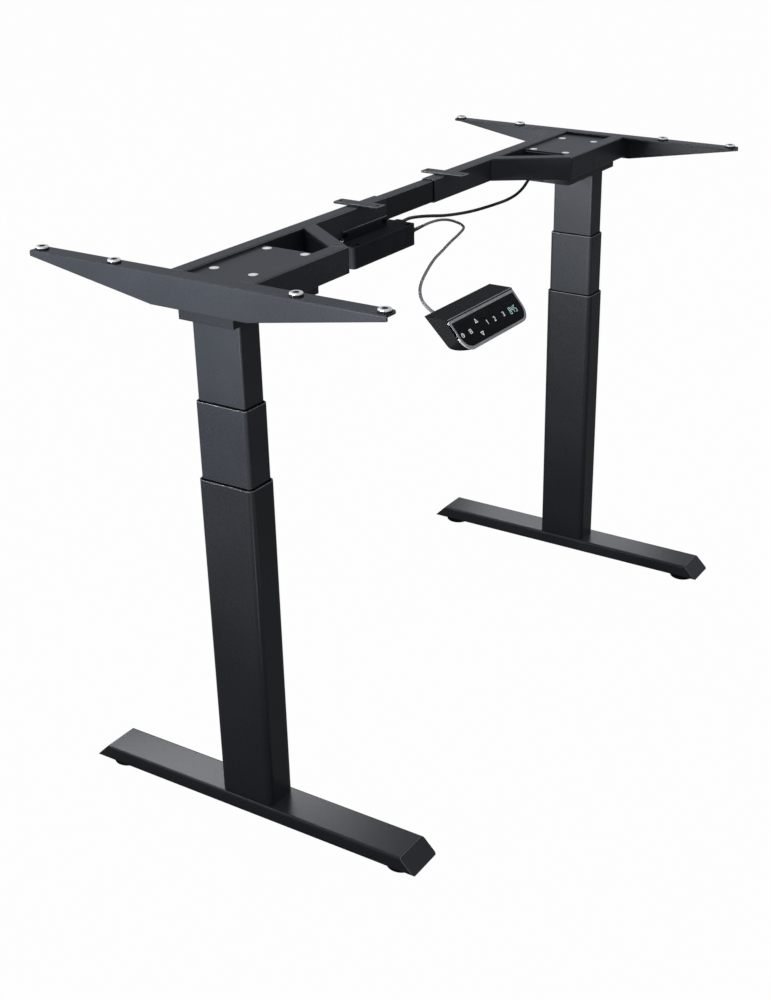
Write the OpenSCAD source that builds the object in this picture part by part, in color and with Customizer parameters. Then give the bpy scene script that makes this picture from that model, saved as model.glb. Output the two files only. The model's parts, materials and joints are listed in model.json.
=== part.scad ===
// Height adjustable desk frame: two three-stage lifting columns on long feet, joined by a
// telescoping crossbar, with a control box and a handset. Millimetres, Z up.
// X runs along the crossbar, the handset is on the -Y side, and the origin is on the floor
// midway between the two columns.

/* [Stance] */
// Distance between the centres of the two columns
leg_spacing = 1088; // [1070:1:1400]
// How far the middle tube stands out of the outer tube, as stored
middle_out = 119; // [60:1:180]
// How far the inner tube stands out of the middle tube, as stored
inner_out = 126; // [60:1:180]
// How far each stage can still go down from the stored height
travel_down = 110; // [40:1:112]
// How far each stage can still go up from the stored height
travel_up = 215; // [120:1:220]

/* [Foot] */
// Length of the foot along its underside
foot_len = 624; // [560:1:760]
// Width of the foot tube
foot_w = 65; // [60:1:80]
// Height of the foot tube
foot_h = 25; // [22:1:40]
// Wall of the foot tube
foot_wall = 2; // [1.5:0.1:3]
// Rounding of the foot tube's long edges
foot_edge_r = 4; // [2.5:0.1:6]
// How far each end of the foot leans in from the underside to the top
foot_slant = 25; // [8:1:40]
// Thickness of the plate that closes each end of the foot
foot_end_t = 2; // [1.5:0.1:4]

/* [Levelling feet] */
// Height of the foot tube's underside above the floor
leveller_stand = 12; // [9:0.5:20]
// Distance of each levelling foot from the foot's end
leveller_inset = 41; // [32:1:72]
// Radius of the levelling pad
leveller_pad_r = 25; // [14:0.5:27]
// Radius of the threaded stud
leveller_stud_r = 4; // [3:0.5:5]

/* [Columns] */
// Depth of the outer tube, front to back
outer_d = 97; // [92:0.5:110]
// Width of the outer tube
outer_w = 57.5; // [52:0.5:60]
// Length of the outer tube
outer_len = 537; // [520:1:600]
// Length of the middle tube
middle_len = 530; // [510:1:560]
// Length of the inner tube
inner_len = 529; // [510:1:560]
// Wall of the three column tubes
column_wall = 1.5; // [1.2:0.1:1.8]
// Gap between one tube and the next, which the glides fill
column_gap = 2; // [0.8:0.1:2.2]
// Rounding of the outer tube's corners
outer_corner_r = 10; // [9.5:0.5:14]
// Height of each plastic glide
glide_h = 50; // [20:1:80]

/* [Spindle drive] */
// Radius of the upper spindle
upper_spindle_r = 6; // [5:0.5:6.5]
// Outer radius of the hollow lower spindle
lower_spindle_r = 10; // [9:0.5:10.5]
// Inner radius of the hollow lower spindle
lower_spindle_bore_r = 6.6; // [6.6:0.1:7.5]
// Outer radius of the tube that stands on the foot and carries the lower nut
support_tube_r = 13.5; // [12.5:0.5:14]
// Outer radius of the tube that lifts the middle stage
lift_tube_r = 16.5; // [16:0.5:17]
// Height of each spindle nut
nut_h = 25; // [18:1:32]
// Thickness of the plate at the bottom of the outer tube
base_plate_t = 6; // [4:0.5:8]
// Thickness of the plate at the bottom of the middle tube
lift_plate_t = 5; // [3:0.5:8]

/* [Head frame] */
// How far the rails and the motor housing are set forward of the column's centre
head_forward = 4.75; // [0:0.25:6]
// Width of the rail tubes
rail_w = 25; // [22:0.5:30]
// Height of the rail tubes
rail_h = 40; // [36:0.5:50]
// Wall of the rail tubes
rail_wall = 1.5; // [1.2:0.1:2]
// Rounding of the rails' long edges
rail_edge_r = 2.5; // [1.8:0.1:3.5]
// Clear distance between the front and the rear rail
rail_gap = 94; // [90:0.5:104]
// Distance from the column to the front rail's inner corner
front_corner = 176; // [160:1:190]
// Distance from the column to the corner of the diagonal and the rear rail
rear_corner = 243.5; // [225:0.5:260]
// Distance from the middle of the crossbar to the end of each rear rail
sleeve_end = 75; // [72:1:110]
// Thickness of the mounting plate over the motor
plate_t = 3; // [2:0.5:4]
// Depth of the mounting plate's face below the frame's top
plate_recess = 4.5; // [4:0.5:6]
// How far the mounting plate reaches inboard of the column
plate_in = 145.5; // [143:0.5:165]

/* [Side bracket] */
// Distance of the bracket's outer face outboard of the column
bracket_out = 56.5; // [54:0.5:70]
// Sheet thickness of the bracket
bracket_t = 3; // [2:0.5:4]
// Length of the bracket, front to back, half of it each side of the column's centre
bracket_len = 600; // [540:1:700]
// Width of the bracket's top flange
flange_w = 28; // [24:0.5:34]
// Height of the bracket at its middle
web_h = 45; // [38:0.5:60]
// Height of the bracket at its tips
tip_h = 8; // [6:0.5:14]
// Length of the bracket's straight lower edge
web_flat = 162; // [120:1:260]
// Rounding of the flange's inner corners
flange_corner_r = 9; // [4:0.5:12]

/* [Desktop fixings] */
// Distance between the two inner desktop pads
pad_inner_spacing = 308; // [240:1:340]
// Distance of the outer desktop pads from the bracket's tips
pad_tip_inset = 11; // [10:0.5:60]
// Radius of a desktop pad
pad_r = 10; // [8:0.5:11]
// Height of a desktop pad above the flange
pad_h = 5; // [3:0.5:8]
// Radius of the screw hole through a desktop pad
pad_hole_r = 3.5; // [2.5:0.1:4]
// Width of the crossbar tab
tab_w = 24; // [18:0.5:30]
// Length of the crossbar tab
tab_len = 84; // [70:1:110]
// Thickness of the crossbar tab
tab_t = 3; // [2:0.5:4]
// Distance between the two holes of a crossbar tab
tab_hole_spacing = 69; // [50:1:69]
// Radius of the holes in a crossbar tab
tab_hole_r = 4; // [2:0.25:4.5]
// Distance from the left rear rail's end to the centre of its tab
left_tab_inset = 65; // [40:1:80]
// Distance from the right rear rail's end to the centre of its tab
right_tab_inset = 48; // [30:1:80]

/* [Crossbar] */
// Length of the inner bar that slides in both rear rails
bar_len = 800; // [640:1:840]
// Wall of the inner bar
bar_wall = 2; // [1.5:0.1:3]
// Sliding gap between the inner bar and the rear rails
bar_gap = 0.3; // [0.2:0.05:0.5]

/* [Motor] */
// Length of the motor housing along the crossbar
housing_len = 194; // [190:1:210]
// Width of the motor housing, front to back
housing_w = 93; // [88:0.5:93.5]
// Height of the motor housing
housing_h = 54.5; // [52:0.5:70]
// How far the motor housing reaches outboard of the column
housing_out = 47; // [44:0.5:52]
// Sheet thickness of the motor housing
housing_t = 1.5; // [1:0.1:2]
// Radius of the motor can
motor_r = 21; // [17:0.5:22]
// Clear distance between the motor and the end wall of its housing
motor_end_gap = 22.5; // [8:0.5:45]

/* [Control box] */
// Length of the control box
box_len = 178; // [150:1:200]
// Depth of the control box, front to back
box_d = 60; // [56:1:72]
// Height of the control box
box_h = 35; // [33:0.5:45]
// Distance from the middle of the crossbar to the box's socket end
box_end = 38; // [36:1:60]
// Wall of the control box
box_wall = 2; // [1.5:0.1:3]
// Rounding of the control box's upright corners
box_corner_r = 6; // [4:0.5:10]

/* [Handset] */
// Width of the handset
handset_w = 161; // [140:1:180]
// Depth of the handset's flat top
handset_top = 32; // [28:0.5:38]
// Length of the handset's sloping face, top to bottom
handset_face = 46; // [42:0.5:56]
// Lean of the handset's face from upright, in degrees
handset_lean = 40; // [30:1:50]
// Radius of the face's two lower corners
handset_corner_r = 20; // [12:0.5:21]
// Width of the metal frame round the handset's panel
bezel_w = 3.6; // [3:0.1:7]
// Distance of the handset's middle from the left column, towards the crossbar
handset_x = 33; // [0:1:120]
// Distance of the handset's back edge in front of the columns
handset_y = 349; // [320:1:360]

/* [Hidden] */

// General clearances and drawing values
overrun = 1;
running = 0.05;
end_gap = 6;
left = -1;
right = 1;
fine = 96;
medium = 48;

// Finish colours of the sub-parts
powder_black = "#34373d";
steel_grey = "#9aa0a6";
zinc = "#d8dade";
plastic_black = "#17181b";
pad_white = "#e9ebec";
brass = "#b08d4a";
board_green = "#2f5d3f";

// Heights above the floor
foot_bottom = leveller_stand;
foot_top = foot_bottom + foot_h;
leveller_y = foot_len / 2 - leveller_inset;
outer_rim = foot_top + outer_len;
middle_rim = outer_rim + middle_out;
middle_bottom = middle_rim - middle_len;
housing_bottom = middle_rim + inner_out;
inner_bottom = housing_bottom - inner_len;
housing_top = housing_bottom + housing_h;
plate_top = housing_top + plate_t;
frame_top = plate_top + plate_recess;
rail_bottom = frame_top - rail_h;
desk_plane = frame_top + pad_h;

// Sections of the nested column tubes
step = column_wall + column_gap;
middle_d = outer_d - 2 * step;
middle_w = outer_w - 2 * step;
middle_corner_r = outer_corner_r - step;
inner_d = middle_d - 2 * step;
inner_w = middle_w - 2 * step;
inner_corner_r = middle_corner_r - step;
glide_t = column_gap - 2 * running;
bolt_r = 4;
bolt_head_r = 6.5;
bolt_head_h = 5;
bolt_x = outer_w / 2 - 2 * bolt_head_r;
bolt_y = outer_d / 2 - 2 * bolt_head_r;

// Spindle drive heights
lower_spindle_bottom = foot_top + base_plate_t + travel_down + end_gap;
support_top = lower_spindle_bottom + travel_up + nut_h + end_gap;
carrier_bottom = support_top + travel_down + end_gap;
thrust_h = 4;
thrust_gap = 0.1;
thrust_seat = 6;
carrier_h = nut_h + thrust_seat + thrust_h + end_gap;
carrier_top = carrier_bottom + carrier_h;
upper_nut_bottom = carrier_top - nut_h;
upper_spindle_bottom = upper_nut_bottom - travel_up - end_gap;
thrust_r = lower_spindle_r + 2;
lift_tube_bore_r = support_tube_r + 0.5;
support_bore_r = lower_spindle_r + 0.75;

// Gearbox and motor inside the housing
gearbox_len = 62;
gearbox_w = 58;
gearbox_h = housing_h - housing_t - 14;
gearbox_out = gearbox_len / 2;
motor_boss_h = 4;
motor_len = housing_len - housing_out - housing_t - gearbox_out - motor_boss_h - motor_end_gap;
spindle_socket = 20;
upper_spindle_top = housing_bottom + housing_t + spindle_socket;
motor_z = housing_bottom + housing_t + motor_r + 3;
spindle_hole_r = upper_spindle_r + 6;
plate_screw_in = 17.8;
plate_screw_out = 136.2;
plate_screw_y = 33.4;
plate_screw_r = 3;
plate_screw_head_r = 6;
plate_screw_len = 12;
nut_block = 16;
nut_block_h = 11;
gland_r = 5;
gland_len = 6;
gland_y = 14.75;
gland_z = 29;
motor_cable_r = 2.75;

// Head frame places
head_y = -head_forward;
rear_in_y = head_y + rail_gap / 2;
front_in_y = head_y - rail_gap / 2;
rear_rail_y = rear_in_y + rail_w / 2;
front_rail_y = front_in_y - rail_w / 2;
web_in = bracket_out - bracket_t;
flange_in = bracket_out - flange_w;
pad_x = bracket_out - flange_w / 2;
pad_outer_spacing = bracket_len - 2 * pad_tip_inset;
diagonal_run = rear_corner - front_corner;
diagonal_angle = atan2(rail_gap, diagonal_run);
diagonal_share = rail_w / sin(diagonal_angle);
outer_front_corner = front_corner + diagonal_share - rail_w / tan(diagonal_angle);
outer_rear_corner = rear_corner + diagonal_share;
sleeve_in = leg_spacing / 2 - sleeve_end;
lock_screw_r = 3;
lock_head_r = 5;
lock_head_h = 3;
lock_boss_r = 6;
lock_boss_h = 4;
lock_insets = [22, 58];

// Inner bar section
bar_w = rail_w - 2 * (rail_wall + bar_gap);
bar_h = rail_h - 2 * (rail_wall + bar_gap);

// Pads
pad_neck_r = 6;
pad_under_h = 2;
pad_fit = 0.1;
pad_crown = 1.5;

// Control box places
box_gap = 6;
box_front_y = 10;
box_top = rail_bottom - box_gap;
box_bottom = box_top - box_h;
box_base_t = 3;
box_left = -box_end - box_len;
socket_depth = 12;
socket_block = 14;
socket_clear = 0.2;
handset_socket = 8;
handset_socket_y = 16;
handset_socket_z = 22;
motor_socket_w = 13;
motor_socket_h = 12;
motor_socket_y = 50;
spare_socket_y = 33;
motor_socket_z = 27;
mains_w = 22;
mains_h = 11;
mains_y = 41;
mains_z = 11;
ear_hole_r = 3;
ear_hole_depth = 3;
ear_hole_inset = 8;
plug_out = 16;
hanger_t = 2;
hanger_len = 123;
hanger_end = 77;
hanger_leaf = 17;
hanger_depth = 28;
hanger_screw_r = 2;
hanger_head_r = 3.5;
hanger_head_h = 2;
hanger_screw_z = 10;
hanger_screw_inset = 7;
board_t = 1.6;
board_edge = 6;
board_lift = 5;

// Handset places, measured from the back edge of its flat top
handset_center_x = -leg_spacing / 2 + handset_x;
face_run = handset_face * sin(handset_lean);
face_drop = handset_face * cos(handset_lean);
bezel_t = 2.5;
bezel_top = 2.5;
panel_below = 0.6;
panel_gap = 0.15;
back_run = 33;
back_drop = 33;
belly = 6;
belly_steps = 8;
top_corner_r = 1.5;
cable_port_share = 0.34;
port_r = 4;
port_h = 3;
handset_cable_r = 2.25;

// Centre line of the handset cable, from the control box to the handset's back
handset_route = [
    [-37.7, 16, 822], [-25, 16, 822], [-8, 15.5, 823], [18, 14.5, 824], [46, 13, 822],
    [68, 9, 817.5], [83, 2, 811], [86, -6, 806.5], [76, -14, 804], [40, -25, 803],
    [-6, -38, 803.5], [-70, -61, 807], [-149, -92, 814], [-262, -145, 825],
    [-354, -195, 837.5], [-430, -245, 848], [-478, -288, 853.5], [-501, -320, 855],
    [-509, -339, 858], [-511, -351, 864.5], [-511, -358.4, 871.9]
];
// Centre line of the far motor's cable, from its plug to the gland on the right housing
motor_route = [
    [-21.7, 50, 827], [-9, 49.6, 828.5], [8, 48.5, 829], [34, 46.5, 826], [64, 44.5, 821],
    [106, 43, 813], [153, 41, 806.5], [196, 38.5, 802.5], [236, 35, 801], [272, 31, 801],
    [304, 26.5, 802.5], [328, 21, 808], [346, 16, 818], [360, 12.5, 831], [372, 10.8, 842],
    [382, 10.1, 847], [390.4, 10, 848]
];
route_steps = 2;
cable_sides = 8;

// Everything of one side is drawn for the right and mirrored for the left.
module on_side(side) {
    if (side > 0) translate([leg_spacing / 2, 0, 0]) children();
    else mirror([1, 0, 0]) translate([leg_spacing / 2, 0, 0]) children();
}

// Rectangle with round corners, centred
module rounded_rect(w, d, r) {
    square([w - 2 * r, d], center = true);
    square([w, d - 2 * r], center = true);
    for (x = [-1, 1]) for (y = [-1, 1])
        translate([x * (w / 2 - r), y * (d / 2 - r)]) circle(r = r, $fn = medium);
}

// Upright tube of rounded section, from z0 to z1
module column_tube(w, d, r, wall, z0, z1) {
    translate([0, 0, z0]) difference() {
        linear_extrude(z1 - z0) rounded_rect(w, d, r);
        translate([0, 0, -overrun]) linear_extrude(z1 - z0 + 2 * overrun)
            rounded_rect(w - 2 * wall, d - 2 * wall, r - wall);
    }
}

// Solid bar of rail section that runs towards -X from the origin, its top at z = 0
module rail_bar(len, w, h, r) {
    rotate([0, -90, 0]) linear_extrude(len) translate([-h / 2, 0]) rounded_rect(h, w, r);
}

// Upright cylinder from z0 to z1
module disc(r, z0, z1) {
    translate([0, 0, z0]) cylinder(r = r, h = z1 - z0, $fn = fine);
}

// Foot: a tube with leaning ends, closed by welded plates, drilled for bolts and levellers
module foot() {
    color(powder_black) difference() {
        intersection() {
            translate([0, foot_len / 2, foot_bottom + foot_h / 2]) rotate([90, 0, 0])
                linear_extrude(foot_len) rounded_rect(foot_w, foot_h, foot_edge_r);
            foot_outline(0);
        }
        intersection() {
            translate([0, foot_len / 2, foot_bottom + foot_h / 2]) rotate([90, 0, 0])
                linear_extrude(foot_len)
                    rounded_rect(foot_w - 2 * foot_wall, foot_h - 2 * foot_wall,
                                 foot_edge_r - foot_wall);
            foot_outline(foot_end_t);
        }
        for (x = [-1, 1]) for (y = [-1, 1]) translate([x * bolt_x, y * bolt_y, 0]) {
            disc(bolt_r + 2 * running, foot_top - foot_wall - overrun, foot_top + overrun);
            disc(bolt_head_r + 1, foot_bottom - overrun, foot_bottom + foot_wall + overrun);
        }
        for (y = [-1, 1]) translate([0, y * leveller_y, 0])
            disc(leveller_stud_r + running, foot_bottom - overrun,
                 foot_bottom + foot_wall + overrun);
    }
    color(steel_grey) for (y = [-1, 1]) translate([0, y * leveller_y, 0]) difference() {
        disc(weld_nut_r, foot_bottom + foot_wall / 2, foot_bottom + foot_wall + weld_nut_h);
        disc(leveller_stud_r + running, foot_bottom, foot_bottom + foot_top);
    }
}
weld_nut_r = 9;
weld_nut_h = 6;

// Side outline of the foot, drawn in by inset at both leaning ends
module foot_outline(inset) {
    half = foot_len / 2 - inset;
    translate([-foot_w, 0, 0]) rotate([90, 0, 90]) linear_extrude(2 * foot_w)
        polygon([[-half, foot_bottom], [half, foot_bottom],
                 [half - foot_slant, foot_top], [-half + foot_slant, foot_top]]);
}

// Levelling foot: a rubber pad with a rounded lower edge on a threaded stud
module leveller(y) {
    pad_h = leveller_stand - pad_neck - level_gap;
    edge = pad_h / 3;
    color(plastic_black) translate([0, y, 0]) {
        rotate_extrude($fn = fine) {
            square([leveller_pad_r - edge, pad_h]);
            translate([0, edge]) square([leveller_pad_r, pad_h - edge - pad_bevel]);
            translate([0, pad_h - pad_bevel]) square([leveller_pad_r - pad_bevel, pad_bevel]);
            translate([leveller_pad_r - edge, edge]) circle(r = edge, $fn = medium);
        }
        disc(2.5 * leveller_stud_r, pad_h - pad_bevel, leveller_stand - level_gap);
        disc(leveller_stud_r, pad_h, foot_top - foot_wall - level_gap);
    }
}
pad_neck = 2.7;
pad_bevel = 1;
level_gap = 0.3;

// Four bolts that hold the column to the foot, heads inside the foot tube
module column_bolts() {
    color(zinc) for (x = [-1, 1]) for (y = [-1, 1]) translate([x * bolt_x, y * bolt_y, 0]) {
        disc(bolt_r, foot_top - foot_wall - running, foot_top + base_plate_t);
        difference() {
            disc(bolt_head_r, foot_top - foot_wall - bolt_head_h, foot_top - foot_wall);
            translate([0, 0, foot_top - foot_wall - bolt_head_h - overrun])
                cylinder(r = bolt_r * 0.75, h = bolt_head_h / 2 + overrun, $fn = 6);
        }
    }
}

// Outer tube of the column, welded to its base plate
module column_outer() {
    color(powder_black) {
        column_tube(outer_w, outer_d, outer_corner_r, column_wall, foot_top, outer_rim);
        translate([0, 0, foot_top]) difference() {
            linear_extrude(base_plate_t)
                rounded_rect(outer_w - column_wall, outer_d - column_wall,
                             outer_corner_r - column_wall / 2);
            for (x = [-1, 1]) for (y = [-1, 1]) translate([x * bolt_x, y * bolt_y, 0])
                disc(bolt_r + 2 * running, -overrun, base_plate_t + overrun);
        }
    }
}

// Glide ring between two tubes: w, d and r are those of the wider side
module glide_ring(w, d, r, z0, z1) {
    column_tube(w, d, r, glide_t, z0, z1);
}

// Plastic guide in the mouth of the outer tube
module outer_guide() {
    color(plastic_black) glide_ring(outer_w - 2 * column_wall, outer_d - 2 * column_wall,
                                    outer_corner_r - column_wall, outer_rim - glide_h,
                                    outer_rim);
}

// Tube that stands on the base plate and carries the lower spindle's nut
module support_tube() {
    color(steel_grey) difference() {
        disc(support_tube_r, foot_top + base_plate_t, support_top);
        disc(support_bore_r, foot_top + base_plate_t - overrun, support_top - nut_h);
        disc(lower_spindle_r + running, foot_top, support_top + overrun);
    }
}

// Middle tube of the column
module column_middle() {
    color(powder_black) column_tube(middle_w, middle_d, middle_corner_r, column_wall,
                                    middle_bottom, middle_rim);
}

// Two glides of the middle tube: one round its foot and one in its mouth
module middle_glides() {
    color(plastic_black) {
        glide_ring(middle_w + 2 * glide_t, middle_d + 2 * glide_t,
                   middle_corner_r + glide_t, middle_bottom, middle_bottom + glide_h);
        glide_ring(middle_w - 2 * column_wall, middle_d - 2 * column_wall,
                   middle_corner_r - column_wall, middle_rim - glide_h, middle_rim);
    }
}

// Tube that lifts the middle stage, on its bottom plate, with the upper nut and the
// thrust seat of the lower spindle in its top
module lift_tube() {
    color(steel_grey) difference() {
        union() {
            translate([0, 0, middle_bottom]) linear_extrude(lift_plate_t)
                rounded_rect(middle_w - 2 * column_wall, middle_d - 2 * column_wall,
                             middle_corner_r - column_wall);
            disc(lift_tube_r, middle_bottom, carrier_top);
        }
        disc(lift_tube_bore_r, middle_bottom - overrun, carrier_bottom);
        disc(lower_spindle_r + running, carrier_bottom - overrun,
             carrier_bottom + thrust_seat);
        disc(thrust_r + running, carrier_bottom + thrust_seat - thrust_gap,
             carrier_bottom + thrust_seat + thrust_h + thrust_gap);
        disc(upper_spindle_r + running, carrier_bottom, carrier_top + overrun);
    }
}

// Hollow lower spindle with its thrust collar
module lower_spindle() {
    color(zinc) difference() {
        union() {
            disc(lower_spindle_r, lower_spindle_bottom, carrier_bottom + thrust_seat);
            disc(thrust_r, carrier_bottom + thrust_seat,
                 carrier_bottom + thrust_seat + thrust_h);
        }
        disc(lower_spindle_bore_r, lower_spindle_bottom - overrun,
             carrier_bottom + thrust_seat + thrust_h + overrun);
    }
}

// Inner tube of the column
module column_inner() {
    color(powder_black) column_tube(inner_w, inner_d, inner_corner_r, column_wall,
                                    inner_bottom, housing_bottom);
}

// Glide round the foot of the inner tube
module inner_glide() {
    color(plastic_black) glide_ring(inner_w + 2 * glide_t, inner_d + 2 * glide_t,
                                    inner_corner_r + glide_t, inner_bottom,
                                    inner_bottom + glide_h);
}

// Upper spindle, driven by the gearbox
module upper_spindle() {
    color(zinc) disc(upper_spindle_r, upper_spindle_bottom, upper_spindle_top);
}

// Gearmotor: gearbox over the column, motor can lying inboard of it
module motor() {
    floor_z = housing_bottom + housing_t;
    color(steel_grey) difference() {
        translate([-gearbox_out, head_y - gearbox_w / 2, floor_z])
            cube([gearbox_len, gearbox_w, gearbox_h]);
        disc(upper_spindle_r + running, floor_z - overrun, upper_spindle_top + level_gap);
    }
    color(plastic_black) translate([-gearbox_out - motor_len, head_y, motor_z])
        rotate([0, 90, 0]) cylinder(r = motor_r, h = motor_len, $fn = fine);
    color(steel_grey) translate([-gearbox_out - motor_len - motor_boss_h, head_y, motor_z])
        rotate([0, 90, 0]) cylinder(r = motor_r / 3, h = motor_boss_h, $fn = fine);
}

// Places of the four screws through the mounting plate
module plate_screw_places() {
    for (x = [plate_screw_in, plate_screw_out]) for (y = [-1, 1])
        translate([-x, head_y + y * plate_screw_y, 0]) children();
}

// Sheet tray under the mounting plate that holds the gearmotor
module motor_housing() {
    inner = [housing_len - 2 * housing_t, housing_w - 2 * housing_t, housing_h];
    color(powder_black) translate([housing_out - housing_len, head_y - housing_w / 2,
                                   housing_bottom]) difference() {
        cube([housing_len, housing_w, housing_h]);
        translate([housing_t, housing_t, housing_t]) difference() {
            cube([inner[0], inner[1], inner[2]]);
            for (x = [plate_screw_in, plate_screw_out]) for (side = [0, 1])
                translate([housing_len - housing_out - housing_t - x - nut_block / 2,
                           side * (inner[1] - nut_block_w), housing_h - housing_t
                           - nut_block_h])
                    cube([nut_block, nut_block_w, nut_block_h + overrun]);
        }
        translate([housing_len - housing_out, housing_w / 2 - head_y, 0])
            disc(spindle_hole_r, -overrun, housing_t + overrun);
        for (x = [plate_screw_in, plate_screw_out]) for (side = [-1, 1])
            translate([housing_len - housing_out - x, housing_w / 2 + side * plate_screw_y,
                       0])
                disc(plate_screw_r + running, housing_h - plate_screw_len, housing_h
                     + overrun);
    }
    color(plastic_black) translate([housing_out - housing_len, head_y + gland_y,
                                    housing_bottom + gland_z]) rotate([0, -90, 0])
        cylinder(r = gland_r, h = gland_len, $fn = medium);
}
nut_block_w = 20;

// Plate that joins the rails and carries the motor housing
module mount_plate() {
    color(powder_black) difference() {
        translate([-plate_in, front_in_y, housing_top])
            cube([plate_in + web_in, rail_gap, plate_t]);
        plate_screw_places() {
            disc(plate_screw_r + 2 * running, housing_top - overrun, plate_top + overrun);
            translate([0, 0, plate_top - countersink_h])
                cylinder(r1 = plate_screw_r + 2 * running, r2 = plate_screw_head_r + 2 * running,
                         h = countersink_h, $fn = medium);
        }
    }
}
countersink_h = 2;

// Four countersunk screws in the mounting plate and two locking screws of the crossbar
module head_screws() {
    color(zinc) plate_screw_places() {
        disc(plate_screw_r, housing_top + plate_t - plate_screw_len, plate_top - countersink_h);
        translate([0, 0, plate_top - countersink_h])
            cylinder(r1 = plate_screw_r, r2 = plate_screw_head_r, h = countersink_h,
                     $fn = medium);
    }
    color(zinc) lock_screw_places() {
        translate([0, 0, rail_wall - level_gap + lock_boss_h]) difference() {
            cylinder(r = lock_head_r, h = lock_head_h, $fn = medium);
            translate([0, 0, lock_head_h / 2])
                cylinder(r = lock_screw_r / 2, h = lock_head_h, $fn = 6);
        }
        cylinder(r = lock_screw_r, h = rail_wall - level_gap + lock_boss_h, $fn = medium);
    }
}

// Locking screws enter the rear rail from behind; z = 0 is the rail's inner face
module lock_screw_places() {
    for (inset = lock_insets)
        translate([-(sleeve_in - inset), rear_rail_y + rail_w / 2 - rail_wall,
                   frame_top - rail_h / 2]) rotate([-90, 0, 0]) children();
}

// Rear rail: runs from the bracket to the middle, and holds the sliding bar
module rear_rail() {
    color(powder_black) difference() {
        union() {
            translate([web_in, rear_rail_y, frame_top])
                rail_bar(web_in + sleeve_in, rail_w, rail_h, rail_edge_r);
            lock_screw_places() translate([0, 0, rail_wall / 2])
                cylinder(r = lock_boss_r, h = rail_wall / 2 + lock_boss_h - level_gap,
                         $fn = medium);
        }
        translate([web_in + overrun, rear_rail_y, frame_top - rail_wall])
            rail_bar(web_in + sleeve_in + 2 * overrun, rail_w - 2 * rail_wall,
                     rail_h - 2 * rail_wall, rail_edge_r - rail_wall);
        flange_notch(rear_rail_y);
        lock_screw_places() translate([0, 0, -overrun])
            cylinder(r = lock_screw_r + running, h = rail_wall + lock_boss_h + 2 * overrun,
                     $fn = medium);
    }
}

// Cut that lets a rail pass under the bracket's flange
module flange_notch(y) {
    translate([flange_in, y - rail_w, frame_top - bracket_t])
        cube([flange_w + overrun, 2 * rail_w, bracket_t + overrun]);
}

// Front rail: short, mitred to the diagonal
module front_rail() {
    color(powder_black) difference() {
        intersection() {
            translate([web_in, front_rail_y, frame_top])
                rail_bar(web_in + outer_front_corner, rail_w, rail_h, rail_edge_r);
            translate([0, 0, rail_bottom]) linear_extrude(rail_h)
                polygon([[web_in, front_in_y], [-front_corner, front_in_y],
                         [-outer_front_corner, front_in_y - rail_w],
                         [web_in, front_in_y - rail_w]]);
        }
        translate([web_in + overrun, front_rail_y, frame_top - rail_wall])
            rail_bar(web_in + outer_front_corner + 2 * overrun, rail_w - 2 * rail_wall,
                     rail_h - 2 * rail_wall, rail_edge_r - rail_wall);
        flange_notch(front_rail_y);
    }
}

// Diagonal rail: mitred to the front rail, butted against the rear rail
module diagonal_rail() {
    length = diagonal_share * 2 + rail_gap / sin(diagonal_angle) + rail_w;
    middle_x = -(front_corner + rear_corner + diagonal_share) / 2;
    color(powder_black) difference() {
        intersection() {
            translate([middle_x, head_y, frame_top]) rotate([0, 0, 180 - diagonal_angle])
                translate([length / 2, 0, 0])
                    rail_bar(length, rail_w, rail_h, rail_edge_r);
            translate([0, 0, rail_bottom]) linear_extrude(rail_h)
                polygon([[-front_corner, front_in_y], [-rear_corner, rear_in_y],
                         [-outer_rear_corner, rear_in_y],
                         [-outer_front_corner, front_in_y - rail_w]]);
        }
        translate([middle_x, head_y, frame_top - rail_wall])
            rotate([0, 0, 180 - diagonal_angle]) translate([length / 2 + overrun, 0, 0])
                rail_bar(length + 2 * overrun, rail_w - 2 * rail_wall,
                         rail_h - 2 * rail_wall, rail_edge_r - rail_wall);
    }
}

// Side bracket: a folded angle whose web tapers to both tips, drilled for the pads
module side_bracket() {
    half = bracket_len / 2;
    color(powder_black) difference() {
        intersection() {
            translate([0, half, 0]) rotate([90, 0, 0]) linear_extrude(bracket_len)
                bracket_section();
            translate([flange_in - overrun, 0, 0]) rotate([90, 0, 90])
                linear_extrude(flange_w + 2 * overrun)
                    polygon([[-half, frame_top], [half, frame_top],
                             [half, frame_top - tip_h], [web_flat / 2, frame_top - web_h],
                             [-web_flat / 2, frame_top - web_h], [-half, frame_top - tip_h]]);
            translate([0, 0, frame_top - web_h]) linear_extrude(web_h) {
                translate([bracket_out - flange_w / 2, 0])
                    square([flange_w, bracket_len - 2 * flange_corner_r], center = true);
                translate([bracket_out - flange_w + flange_corner_r, -half])
                    square([flange_w - flange_corner_r, bracket_len]);
                for (y = [-1, 1])
                    translate([flange_in + flange_corner_r, y * (half - flange_corner_r)])
                        circle(r = flange_corner_r, $fn = medium);
            }
        }
        for (span = [pad_inner_spacing, pad_outer_spacing]) for (y = [-1, 1])
            translate([pad_x, y * span / 2, 0])
                disc(pad_neck_r + pad_fit, frame_top - bracket_t - overrun, frame_top
                     + overrun);
    }
}

// Section of the folded angle, with its rounded bend
module bracket_section() {
    translate([flange_in, frame_top - bracket_t])
        square([flange_w - bend_r, bracket_t]);
    translate([web_in, frame_top - web_h]) square([bracket_t, web_h - bend_r]);
    intersection() {
        translate([bracket_out - bend_r, frame_top - bend_r]) circle(r = bend_r, $fn = medium);
        translate([bracket_out - bend_r, frame_top - bend_r]) square(bend_r);
    }
    translate([web_in, frame_top - bend_r]) square([bracket_t - bend_r, bend_r]);
}
bend_r = 2.4;

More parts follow.
